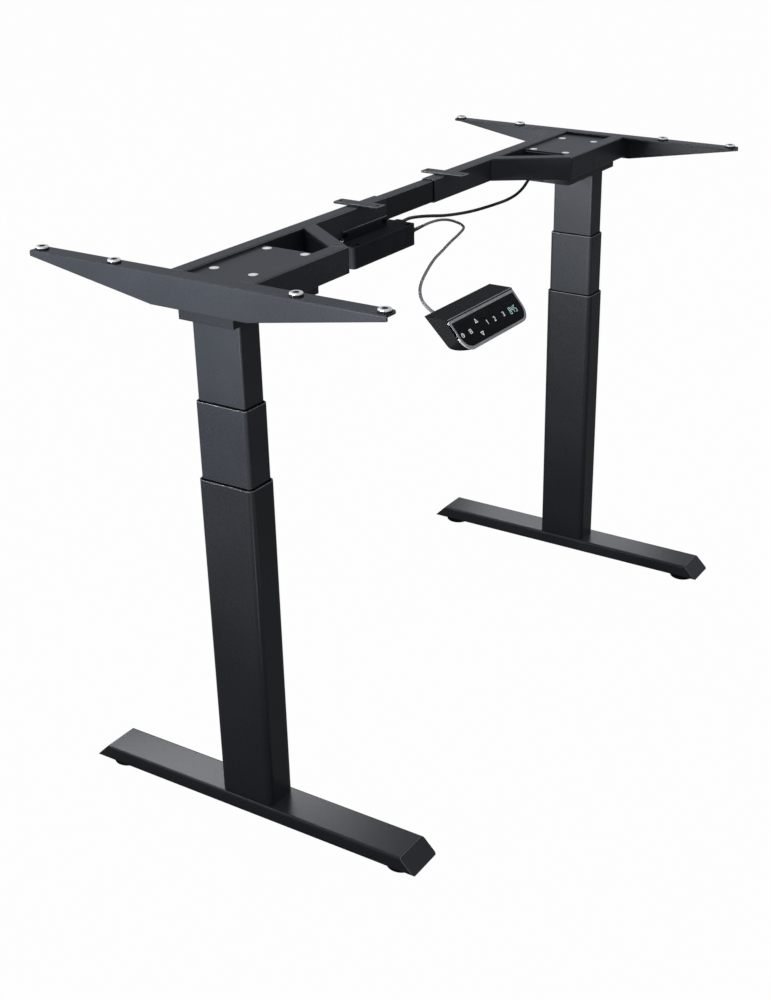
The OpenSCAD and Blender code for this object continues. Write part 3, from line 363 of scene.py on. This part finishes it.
# Painted shade: darker copies of the same coat for the outer tubes and the motor trays, which catch
# less light than the parts above them.
SHADED_OUTER_COAT = powder_coated_steel("outer_tube_coat_painted_shade", "#2a2c31", "#323439")
SHADED_HOUSING_COAT = powder_coated_steel("pressed_tray_coat_painted_shade", "#2b2d32", "#33363b")
# Painted shade: a near-black copy of the same coat for the box hanger and the inner crossbar tube,
# which lie in shade.
SHADED_BLACK_COAT = powder_coated_steel("black_coat_painted_shade", "#101114", "#17181b")
# A bend in sheet steel is smooth and round; the brackets get a dark painted shade line along their
# edges that face up, for the bend turning away from the light.
BENT_COAT = powder_coated_steel("bent_sheet_powder_coat", edges="#0a0a0c")
BLACK_ZINC = metal("black_zinc_plate", "#1d1e21", "#2b2c30", 0.34, 0.6, (1, 1, 1))
PLATE_NICKEL = bright_nickel("polished_screw_nickel", 0.42)
BLACK_EPDM = foot_rubber("black_washer_rubber")
MARK_WHITE = lit_mark("white_lit_mark", "#e9ecee", 0.6)
MARK_TEAL = lit_mark("blue_green_lit_digit", "#8fe0d6", 1.1)
SPECIAL = {"control_box_cover": BOX_ABS, "control_box_base": BOX_ABS, "handset_case": HANDSET_ABS,
           "box_hanger": SHADED_BLACK_COAT, "crossbar_inner": SHADED_BLACK_COAT, "hanger_screws": BLACK_ZINC}
for side in SIDES:
    SPECIAL[f"{side}_side_bracket"] = BENT_COAT
    SPECIAL[f"{side}_motor_housing"] = SHADED_HOUSING_COAT
    SPECIAL[f"{side}_column_outer"] = SHADED_OUTER_COAT

slot_of = {s["node"]: s["material_slot"] for s in frame["record"]["subparts"]}
for name, cad in nodes.items():
    finish = SPECIAL.get(name, FINISH[slot_of[name]])
    if not cad.material_slots:
        cad.data.materials.append(finish)
    for slot in cad.material_slots:
        slot.material = finish


# Small tools for meshes

def piece(name, mesh, body, material, smooth=True):
    """A new object on a body, with its finish."""
    made = bpy.data.objects.new(name, mesh)
    bpy.context.collection.objects.link(made)
    made.data.materials.append(material)
    if smooth:
        made.data.shade_smooth()
    if body:
        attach(made, body)
    return made


def mesh_from(name, points, faces):
    """A mesh with its normals turned outwards."""
    mesh = bpy.data.meshes.new(name)
    mesh.from_pydata([tuple(p) for p in points], [], faces)
    work = bmesh.new()
    work.from_mesh(mesh)
    bmesh.ops.recalc_face_normals(work, faces=work.faces)
    work.to_mesh(mesh)
    work.free()
    return mesh


def joined(name, parts):
    """One mesh from several lists of points and faces."""
    points, faces = [], []
    for some_points, some_faces in parts:
        base = len(points)
        points += [tuple(p) for p in some_points]
        faces += [tuple(base + i for i in f) for f in some_faces]
    return mesh_from(name, points, faces)


def turned(profile, place, segments=48):
    """Points and faces of a closed turned shape: profile is (radius, height) pairs round a ring."""
    points, faces = [], []
    count = len(profile)
    for k in range(segments):
        a = 2 * pi * k / segments
        points += [place @ Vector((r * cos(a), r * sin(a), z)) for r, z in profile]
    for k in range(segments):
        nxt = (k + 1) % segments
        for i in range(count):
            j = (i + 1) % count
            faces.append((k * count + i, nxt * count + i, nxt * count + j, k * count + j))
    return points, faces


def arc(cx, cy, r, start, stop, steps=4):
    """Points of an arc between two angles in degrees."""
    return [(cx + r * cos(radians(start + (stop - start) * i / steps)),
             cy + r * sin(radians(start + (stop - start) * i / steps))) for i in range(steps + 1)]


# Cables

# Centre lines in millimetres, as the drawing has them, and radii in metres
HANDSET_ROUTE = [
    (-37.7, 16, 822), (-25, 16, 822), (-8, 15.5, 823), (18, 14.5, 824), (46, 13, 822),
    (68, 9, 817.5), (83, 2, 811), (86, -6, 806.5), (76, -14, 804), (40, -25, 803),
    (-6, -38, 803.5), (-70, -61, 807), (-149, -92, 814), (-262, -145, 825),
    (-354, -195, 837.5), (-430, -245, 848), (-478, -288, 853.5), (-501, -320, 855),
    (-509, -339, 858), (-511, -351, 864.5), (-511, -358.4, 871.9)]
MOTOR_ROUTE = [
    (-21.7, 50, 827), (-9, 49.6, 828.5), (8, 48.5, 829), (34, 46.5, 826), (64, 44.5, 821),
    (106, 43, 813), (153, 41, 806.5), (196, 38.5, 802.5), (236, 35, 801), (272, 31, 801),
    (304, 26.5, 802.5), (328, 21, 808), (346, 16, 818), (360, 12.5, 831), (372, 10.8, 842),
    (382, 10.1, 847), (390.4, 10, 848)]
HANDSET_CABLE_R = 0.00225
MOTOR_CABLE_R = 0.00275
ROUTE_STEPS = 6


def smooth_route(route):
    """The drawing's smooth curve through a route, in metres."""
    points = [Vector(p) / 1000 for p in route]
    last = len(points) - 1
    curve = []
    for i in range(last):
        p0, p1, p2, p3 = (points[max(i - 1, 0)], points[i], points[i + 1],
                          points[min(i + 2, last)])
        for k in range(ROUTE_STEPS):
            t = k / ROUTE_STEPS
            curve.append(0.5 * (2 * p1 + (p2 - p0) * t + (2 * p0 - 5 * p1 + 4 * p2 - p3) * t ** 2
                                + (3 * p1 - p0 - 3 * p2 + p3) * t ** 3))
    curve.append(points[-1])
    return curve


def swept(curve, radii, sides=14):
    """Points and faces of a tube along a curve, whose radius may change."""
    count = len(curve)
    points, faces = [], []
    side = Vector((0, 0, 1))
    for i, p in enumerate(curve):
        ahead = (curve[min(i + 1, count - 1)] - curve[max(i - 1, 0)]).normalized()
        side = (side - side.dot(ahead) * ahead).normalized()
        up = ahead.cross(side)
        for k in range(sides):
            a = 2 * pi * k / sides
            points.append(p + radii[i] * (cos(a) * side + sin(a) * up))
    for i in range(count - 1):
        for k in range(sides):
            a, b = i * sides + k, i * sides + (k + 1) % sides
            faces.append((a, b, b + sides, a + sides))
    faces.append(tuple(range(sides))[::-1])
    faces.append(tuple((count - 1) * sides + k for k in range(sides)))
    return points, faces


def add_cables():
    """Both cables hang free from one end to the other, as the photograph shows them."""
    curve = smooth_route(HANDSET_ROUTE)
    mesh = joined("handset_cable_sheath", [swept(curve, [HANDSET_CABLE_R] * len(curve))])
    cable = piece("handset_cable_sheath", mesh, "left_head", GREY_SHEATH_AND_SHEEN)
    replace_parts(cable, "handset_cable")

    curve = smooth_route(MOTOR_ROUTE)
    mesh = joined("motor_cable_sheath", [swept(curve, [MOTOR_CABLE_R] * len(curve))])
    cable = piece("motor_cable_sheath", mesh, None, FINISH["cable_sheath"])
    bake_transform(cable)
    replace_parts(cable, "motor_cable")


add_cables()


# Near-black plastic lips of the column guides just above each rim, partly the guides' own black and
# partly painted shade for the dark gap there

# Height of the rim, then the sides and the corner radius of the tube that stands in it. The lip
# stays that gap clear of the tube, so that the tube can slide.
RIMS = {"base": (0.574, 0.0505, 0.090, 0.0065), "middle": (0.693, 0.0435, 0.083, 0.003)}
LIP_GAP, LIP_T, LIP_UP, LIP_DOWN, LIP_CHAMFER = 0.00015, 0.0016, 0.0019, 0.0015, 0.0006


def rounded_outline(w, d, r, steps=6):
    """Corner points of a rounded rectangle about the origin, with sides w by d."""
    points = []
    for sx, sy, start in ((1, 1, 0), (-1, 1, 90), (-1, -1, 180), (1, -1, 270)):
        for i in range(steps + 1):
            a = radians(start + 90 * i / steps)
            points.append((sx * (w / 2 - r) + r * cos(a), sy * (d / 2 - r) + r * sin(a)))
    return points


def add_column_lips():
    """A chamfered ring round each sliding tube, which rides with the tube below."""
    section = ((LIP_GAP, -LIP_DOWN), (LIP_GAP, LIP_UP), (LIP_T - LIP_CHAMFER, LIP_UP),
               (LIP_T, LIP_UP - LIP_CHAMFER), (LIP_T, -LIP_DOWN))
    for side, s in SIDES.items():
        for body, (rim, w, d, r) in RIMS.items():
            rings = [[(s * LEG_X + x, y, rim + z) for x, y in
                      rounded_outline(w + 2 * out, d + 2 * out, r + out)] for out, z in section]
            count = len(rings[0])
            points = [p for ring in rings for p in ring]
            faces = []
            for i in range(len(rings)):
                for k in range(count):
                    a, b = i * count, (i + 1) % len(rings) * count
                    faces.append((a + k, a + (k + 1) % count, b + (k + 1) % count, b + k))
            name = f"{side}_{body}_lip"
            piece(name, mesh_from(name, points, faces), f"{side}_{body}", BLACK_LIP,
                  False)


add_column_lips()


# Desktop pads

# Sections as radius and height above the bracket, in metres. The washer's black sleeve lines the
# hole, partly real rubber and partly painted shade that makes the hole read dark.
BUSH_SECTION = ([(PAD_HOLE_R + 0.0011, 0.0022), (0.0062, 0.0022)]
                + arc(PAD_R - 0.0013, 0.0031, 0.0007, -90, 0)
                + arc(PAD_R - 0.0022, 0.0037, 0.0013, 20, 90)
                + arc(PAD_HOLE_R + 0.0017, 0.0043, 0.0006, 90, 180))
WASHER_SECTION = (arc(PAD_R - 0.0008, 0.0007, 0.0007, -90, 0, 3)
                  + arc(PAD_R - 0.0008, 0.0017, 0.0007, 0, 90, 3)
                  + [(PAD_HOLE_R + 0.0001, 0.0021), (PAD_HOLE_R + 0.0001, 0.0026),
                     (PAD_HOLE_R + 0.0010, 0.0030), (PAD_HOLE_R + 0.0010, 0.0047),
                     (PAD_HOLE_R - 0.0002, 0.0047), (PAD_HOLE_R - 0.0002, -0.0050),
                     (0.0058, -0.0050), (0.0058, -0.0001)])


def add_pads():
    """Each pad is a plated bush with a chamfered rim on a black rubber washer."""
    for side, s in SIDES.items():
        places = [Matrix.Translation((s * (LEG_X + PAD_X), y * span / 2, FRAME_TOP))
                  for span in PAD_SPANS for y in (-1, 1)]
        for name, section, finish, slot_name in (
                ("pad_bushes", BUSH_SECTION, FINISH["white_nylon_pad"], "white_nylon_pad"),
                ("pad_washers", WASHER_SECTION, BLACK_EPDM, "foot_rubber")):
            name = f"{side}_{name}"
            mesh = joined(name, [turned(section, at) for at in places])
            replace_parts(piece(name, mesh, f"{side}_head", finish),
                        f"{side}_desktop_pads")


add_pads()


# Handset marks

def face_place():
    """The handset face's own frame: x along it, y down its slope, z out of it."""
    lean = radians(HANDSET_LEAN)
    down = Vector((0, -sin(lean), -cos(lean)))
    out = Vector((0, -cos(lean), sin(lean)))
    across = Vector((1, 0, 0))
    place = Matrix.Identity(4)
    for row in range(3):
        place[row][0], place[row][1], place[row][2] = across[row], down[row], out[row]
    place.translation = Vector((HANDSET_X, HANDSET_BACK_Y - HANDSET_TOP_D, HANDSET_TOP_Z))
    return place


FACE = face_place()
MARK_Z = -PANEL_BELOW + 0.00005
MARK_T = 0.00012
# Keeps the sharp corner of a line from reaching out too far: the least cosine of half its turn
MITRE_LIMIT = 0.35


def stroke(points, width, closed=False):
    """A printed line of that width along flat points, in the face's frame, in millimetres."""
    path = [Vector((x, y)) for x, y in points]
    count = len(path)
    rails = []
    for i, p in enumerate(path):
        ways = []
        if closed or i:
            ways.append((p - path[i - 1]).normalized())
        if closed or i < count - 1:
            ways.append((path[(i + 1) % count] - p).normalized())
        mean = sum(ways, Vector((0, 0))).normalized()
        reach = width / 2 / max(MITRE_LIMIT, mean.dot(ways[0]))
        across = Vector((-mean.y, mean.x)) * reach
        rails.append((p + across, p - across))
    corners, faces = [], []
    for a, b in rails:
        for q in (a, b):
            for z in (MARK_Z, MARK_Z + MARK_T):
                corners.append(FACE @ Vector((q.x / 1000, q.y / 1000, z)))
    for i in range(count if closed else count - 1):
        a, b = 4 * i, 4 * ((i + 1) % count)
        faces += [(a + 1, b + 1, b + 3, a + 3), (a, a + 2, b + 2, b), (a, b, b + 1, a + 1),
                  (a + 2, a + 3, b + 3, b + 2)]
    if not closed:
        end = 4 * (count - 1)
        faces += [(0, 1, 3, 2), (end, end + 2, end + 3, end + 1)]
    return corners, faces


# Marks in millimetres on the face: outline, centre, width of the line, whether it is closed
MARKS = [
    # Timer ring and its hands
    (arc(0, 0, 2.6, 0, 360 - 360 / 24, 23), (-69, 25.0), 0.75, True),
    ([(0, -1.7), (0, 0.1), (1.2, 0.9)], (-69, 25.0), 0.7, False),
    # Memory square with a bar in it
    ([(-2.3, -2.5), (2.3, -2.5), (2.3, 2.5), (-2.3, 2.5)], (-50.5, 25.0), 0.75, True),
    ([(-0.9, 0), (0.9, 0)], (-50.5, 25.0), 1.6, False),
    # Arrows up and down
    ([(0, -2.6), (2.7, 2.0), (-2.7, 2.0)], (-28.9, 16.7), 0.9, True),
    ([(0, 2.6), (-2.7, -2.0), (2.7, -2.0)], (-30.8, 34.0), 0.9, True),
    # Numbers 1, 2 and 3
    ([(-1.0, -1.7), (0.3, -2.8), (0.3, 2.8)], (-8.8, 24.8), 0.9, False),
    ([(-1.7, -1.5), (-1.2, -2.5), (0, -2.9), (1.2, -2.5), (1.6, -1.4), (1.1, -0.2), (-1.8, 2.7),
      (1.9, 2.7)], (9.1, 25.2), 0.85, False),
    ([(-1.6, -2.4), (-0.4, -2.9), (0.9, -2.6), (1.4, -1.5), (0.9, -0.5), (-0.3, -0.1), (1.1, 0.4),
      (1.7, 1.5), (1.1, 2.5), (-0.3, 2.9), (-1.7, 2.3)], (31.5, 25.2), 0.85, False),
]

# Lit segments of each figure, and each segment's ends in half widths and quarter heights
HEIGHT_SHOWN = "845"
SEGMENTS = {"8": "abcdefg", "4": "bcfg", "5": "acdfg"}
SEGMENT_LINES = {"a": ((-1, -2), (1, -2)), "b": ((1, -2), (1, 0)), "c": ((1, 0), (1, 2)),
                 "d": ((-1, 2), (1, 2)), "e": ((-1, 0), (-1, 2)), "f": ((-1, -2), (-1, 0)),
                 "g": ((-1, 0), (1, 0))}
DIGIT_X, DIGIT_Y, DIGIT_PITCH = 48.6, 25.8, 6.5
DIGIT_HALF_W, DIGIT_HALF_H, DIGIT_STROKE = 1.75, 4.4, 0.52
SEGMENT_GAP = DIGIT_STROKE * 0.62


def digit(char, centre_x):
    """A seven-segment digit, with the small gaps between its segments."""
    centre = Vector((centre_x, DIGIT_Y))
    segments = []
    for key in SEGMENTS[char]:
        a, b = (Vector((x * DIGIT_HALF_W, y * DIGIT_HALF_H / 2)) for x, y in SEGMENT_LINES[key])
        gap = (b - a).normalized() * SEGMENT_GAP
        segments.append(stroke([tuple(centre + a + gap), tuple(centre + b - gap)], DIGIT_STROKE))
    return segments


def add_marks():
    """Plain marks: a timer ring, a memory square, two arrows, three numbers and the height."""
    marks = [stroke([(cx + x, cy + y) for x, y in outline], width, closed)
             for outline, (cx, cy), width, closed in MARKS]
    digits = []
    for i, char in enumerate(HEIGHT_SHOWN):
        digits += digit(char, DIGIT_X + DIGIT_PITCH * i)
    for name, strokes, ink in (("handset_marks", marks, MARK_WHITE),
                               ("handset_height_digits", digits, MARK_TEAL)):
        piece(name, joined(name, strokes), "left_head", ink, False)


add_marks()


# Handset trim

# Section of the bright strip of painted highlight in the face's frame, and how far it stops short of
# the sides
EDGE_LINE = ((-0.0002, -0.0002), (0.0009, -0.0002), (0.0009, 0.00018), (-0.0002, 0.00018))
EDGE_LINE_SHORT = 0.0015
# The side lip starts below the flat top, goes round under the face and covers the metal frame
LIP_START, LIP_WALL = 0.005, 0.0003
LIP_BOTTOM_Z, LIP_TOP_Z = -0.0027, -0.0003


def add_edge_line():
    """A bright silver strip where the flat top meets the face: a painted highlight for the light on
    the case's rounded edge there.
    """
    half = HANDSET_W / 2 - EDGE_LINE_SHORT
    points = [FACE @ Vector((x, y, z)) for x in (-half, half) for y, z in EDGE_LINE]
    faces = [(0, 1, 2, 3), (7, 6, 5, 4), (0, 4, 5, 1), (1, 5, 6, 2), (2, 6, 7, 3), (3, 7, 4, 0)]
    piece("handset_edge_highlight", mesh_from("handset_edge_highlight", points, faces), "left_head",
          FINISH["silver_frame"], False)


def add_side_lip():
    """The case's side wraps the metal frame up to its face."""
    w, r, low = HANDSET_W / 2, HANDSET_CORNER_R, HANDSET_FACE
    side = ([(-w, LIP_START)] + arc(-w + r, low - r, r, 180, 90, 10)
            + arc(w - r, low - r, r, 90, 0, 10) + [(w, LIP_START)])
    count = len(side)
    points, faces = [], []
    for i, (x, y) in enumerate(side):
        (ax, ay), (bx, by) = side[max(i - 1, 0)], side[min(i + 1, count - 1)]
        away = Vector((ay - by, bx - ax)).normalized() * -LIP_WALL
        for dx, dy in ((0, 0), away):
            for z in (LIP_BOTTOM_Z, LIP_TOP_Z):
                points.append(FACE @ Vector((x + dx, y + dy, z)))
    for i in range(count - 1):
        a, b = 4 * i, 4 * i + 4
        faces += [(a, b, b + 1, a + 1), (a + 2, a + 3, b + 3, b + 2), (a, a + 2, b + 2, b),
                  (a + 1, b + 1, b + 3, a + 3)]
    faces += [(0, 1, 3, 2), (4 * count - 4, 4 * count - 2, 4 * count - 1, 4 * count - 3)]
    piece("handset_side_lip", mesh_from("handset_side_lip", points, faces), "left_head",
          HANDSET_ABS, False)


# Radii of the strain reliefs at the box or the handset and at the cable, and their grooves
BOX_RELIEF_R, HANDSET_RELIEF_R, RELIEF_TIP_R = 0.0036, 0.0038, 0.0026
RELIEF_POINTS, GROOVE_EVERY, GROOVE_DEEP = 13, 3, 0.0004


def add_strain_reliefs():
    """A tapering grooved sleeve round each end of the handset's cable."""
    curve = smooth_route(HANDSET_ROUTE)
    for name, part, thick in (
            ("box_end_relief", curve[:RELIEF_POINTS], BOX_RELIEF_R),
            ("handset_end_relief", curve[:-RELIEF_POINTS:-1], HANDSET_RELIEF_R)):
        count = len(part)
        radii = []
        for i in range(count):
            grooved = i % GROOVE_EVERY == GROOVE_EVERY - 1 and i >= GROOVE_EVERY
            radii.append(thick + (RELIEF_TIP_R - thick) * i / (count - 1)
                         - (GROOVE_DEEP if grooved else 0))
        piece(name, joined(name, [swept(part, radii, 20)]), "left_head", FINISH["cable_sheath"])


add_edge_line()
add_side_lip()
add_strain_reliefs()


# Screw heads

# Radius, height of the crown, then reach, half width and depth of the cross recess, in metres
PLATE_SCREW = (0.0070, 0.0005, 0.0026, 0.0006, 0.0011)
COVER_SCREW = (0.0034, 0.0004, 0.0016, 0.0004, 0.0007)
PLATE_SCREW_LIFT, COVER_SCREW_LIFT = 0.00002, 0.00005


def dished_head(place, r, crown, recess, arm, deep, segments=48, rings=14):
    """Points and faces of a screw head: a crowned disc with a cross recess pressed into it."""
    points, faces = [place @ Vector((0, 0, crown - deep))], []
    for i in range(1, rings + 1):
        d = r * i / rings
        for k in range(segments):
            a = 2 * pi * k / segments
            x, y = d * cos(a), d * sin(a)
            z = crown * (1 - (d / r) ** 2)
            if (abs(x) < arm and abs(y) < recess) or (abs(y) < arm and abs(x) < recess):
                z -= deep * (1 - 0.5 * max(abs(x), abs(y)) / recess)
            points.append(place @ Vector((x, y, z)))
    for k in range(segments):
        faces.append((0, 1 + k, 1 + (k + 1) % segments))
    for i in range(rings - 1):
        for k in range(segments):
            a, b = 1 + i * segments + k, 1 + i * segments + (k + 1) % segments
            faces.append((a, a + segments, b + segments, b))
    faces.append(tuple(1 + (rings - 1) * segments + k for k in range(segments))[::-1])
    return points, faces


def add_plate_screws():
    """Four bright countersunk screws in each mounting plate, turned this way and that."""
    for side, s in SIDES.items():
        heads = []
        for x in (PLATE_SCREW_IN, PLATE_SCREW_OUT):
            for y in (-1, 1):
                at = (s * (LEG_X - x), HEAD_Y + y * PLATE_SCREW_Y, PLATE_TOP + PLATE_SCREW_LIFT)
                turn = Matrix.Rotation(radians(20 * y + 31), 4, "Z")
                heads.append(dished_head(Matrix.Translation(at) @ turn, *PLATE_SCREW))
        name = f"{side}_plate_screw_heads"
        piece(name, joined(name, heads), f"{side}_head", PLATE_NICKEL, False)


def add_cover_screws():
    """Two black screws sunk in the front corners of the control box's cover."""
    heads = [dished_head(Matrix.Translation((x, COVER_SCREW_Y, BOX_TOP + COVER_SCREW_LIFT)),
                         *COVER_SCREW) for x in COVER_SCREW_XS]
    piece("cover_screw_heads", joined("cover_screw_heads", heads), "left_head", BLACK_LIP,
          False)


add_plate_screws()
add_cover_screws()


# Floor, light and background

# Half the floor's side and its depth under the feet in metres, and the share of white that the
# camera adds to it
FLOOR_REACH, FLOOR_BELOW, FLOOR_WHITE = 14, 0.0005, 0.985


def add_floor():
    """A pale matt floor that the camera sees as almost white, with only a trace of shadow."""
    mesh = bpy.data.meshes.new("floor")
    corners = [(x * FLOOR_REACH, y * FLOOR_REACH, 0) for x, y in ((-1, -1), (1, -1), (1, 1), (-1, 1))]
    mesh.from_pydata(corners, [], [(0, 1, 2, 3)])
    floor = bpy.data.objects.new("floor", mesh)
    floor.location.z = -FLOOR_BELOW
    bpy.context.collection.objects.link(floor)
    material = bpy.data.materials.new("pale_floor")
    material.use_nodes = True
    tree = material.node_tree
    tree.nodes.clear()
    output = node(tree, "ShaderNodeOutputMaterial")
    ray = node(tree, "ShaderNodeLightPath")
    share = node(tree, "ShaderNodeMath", {"operation": "MULTIPLY"}, {1: FLOOR_WHITE},
                 {0: ray.outputs["Is Camera Ray"]}).outputs[0]
    matt = node(tree, "ShaderNodeBsdfDiffuse", values={"Color": linear("#a8a8aa")})
    white = node(tree, "ShaderNodeEmission", values={"Color": (1, 1, 1, 1), "Strength": 1})
    mix = node(tree, "ShaderNodeMixShader", links={0: share, 1: matt.outputs[0],
                                                   2: white.outputs[0]})
    tree.links.new(mix.outputs[0], output.inputs["Surface"])
    mesh.materials.append(material)


# Share of the white studio that reflections see: the photograph's coat mirrors little of it.
GLOSS_SHARE = 0.18
FILL_COLOUR, FILL_STRENGTH = (0.95, 0.97, 1, 1), 0.19
# White for the camera, and the cool cast that reflections get from it
PLAIN_WHITE, COOL_WHITE = (1, 1, 1, 1), (0.84, 0.93, 1.1, 1)


def add_world():
    """White for the camera, a share of cool white for reflections, a dim fill for the rest."""
    world = bpy.data.worlds.new("white_studio")
    bpy.context.scene.world = world
    world.use_nodes = True
    tree = world.node_tree
    tree.nodes.clear()
    output = node(tree, "ShaderNodeOutputWorld")
    ray = node(tree, "ShaderNodeLightPath")
    mirrored = node(tree, "ShaderNodeMath", {"operation": "MULTIPLY"}, {1: GLOSS_SHARE},
                    {0: ray.outputs["Is Glossy Ray"]}).outputs[0]
    seen = node(tree, "ShaderNodeMath", {"operation": "MAXIMUM"}, links={
        0: ray.outputs["Is Camera Ray"], 1: mirrored}).outputs[0]
    seen = node(tree, "ShaderNodeMath", {"operation": "MAXIMUM"}, links={
        0: seen, 1: ray.outputs["Is Transmission Ray"]}).outputs[0]
    fill = node(tree, "ShaderNodeBackground", values={"Color": FILL_COLOUR,
                                                      "Strength": FILL_STRENGTH})
    cool = node(tree, "ShaderNodeMix", {"data_type": "RGBA"},
                links={"Factor": ray.outputs["Is Camera Ray"]})
    cool.inputs["A"].default_value = COOL_WHITE
    cool.inputs["B"].default_value = PLAIN_WHITE
    white = node(tree, "ShaderNodeBackground", values={"Strength": 1})
    tree.links.new(cool.outputs["Result"], white.inputs["Color"])
    mix = node(tree, "ShaderNodeMixShader", links={0: seen, 1: fill.outputs[0],
                                                   2: white.outputs[0]})
    tree.links.new(mix.outputs[0], output.inputs["Surface"])


def add_lamp(name, place, target, size, watts, colour, spread):
    """A soft lamp that looks at a point, with its beam's spread in degrees."""
    data = bpy.data.lights.new(name, "AREA")
    data.shape = "RECTANGLE"
    data.size, data.size_y = size
    data.energy = watts
    data.color = colour
    data.spread = radians(spread)
    lamp = bpy.data.objects.new(name, data)
    lamp.location = place
    lamp.rotation_euler = (Vector(target) - Vector(place)).to_track_quat("-Z", "Y").to_euler()
    lamp.visible_camera = False
    bpy.context.collection.objects.link(lamp)


PURE, COOL, FAINTLY_COOL = (1, 1, 1), (0.96, 0.98, 1), (0.97, 0.985, 1)
# Name, place and target in metres, size in metres, watts, colour, spread of the beam in degrees.
# The grid lamp lights the faces that look left, the edge lamps draw the long edges, the low ones
# light the tops of the feet, and the strips the near corners of the columns.
LAMPS = [
    ("left_grid_lamp", (-5.2, 1.1, 0.82), (-0.2, 0, 1.17), (0.8, 0.6), 8.2, COOL, 23),
    ("back_right_lamp", (3.2, 4.6, 6.0), (0, 0, 0.3), (2.2, 1.4), 15, PURE, 180),
    ("right_edge_lamp", (4.4, -1.6, 3.9), (0, 0, 0.8), (1.6, 1.2), 25, PURE, 180),
    ("rear_edge_lamp", (-1.9, 3.9, 5.0), (-0.3, 0, 0.8), (1.6, 1.2), 25, PURE, 180),
    ("low_near_lamp", (0.22, 0.8, 0.77), (-0.544, 0.05, 0.03), (0.8, 0.2), 0.38, FAINTLY_COOL, 70),
    ("low_far_lamp", (1.75, 0.6, 0.68), (0.544, 0.0, 0.03), (0.6, 0.2), 0.16, FAINTLY_COOL, 70),
    ("near_corner_strip", (-1.21, -0.74, 0.03), (-1.143, -0.666, 1.03), (0.12, 1.5), 1.6, PURE, 180),
    ("far_corner_strip", (-0.29, -1.0, 0.03), (-0.206, -0.9, 1.33), (0.14, 2.0), 0.8, PURE, 180),
]

add_floor()
add_world()
for lamp in LAMPS:
    add_lamp(*lamp)

bpy.context.scene.view_settings.view_transform = "Standard"
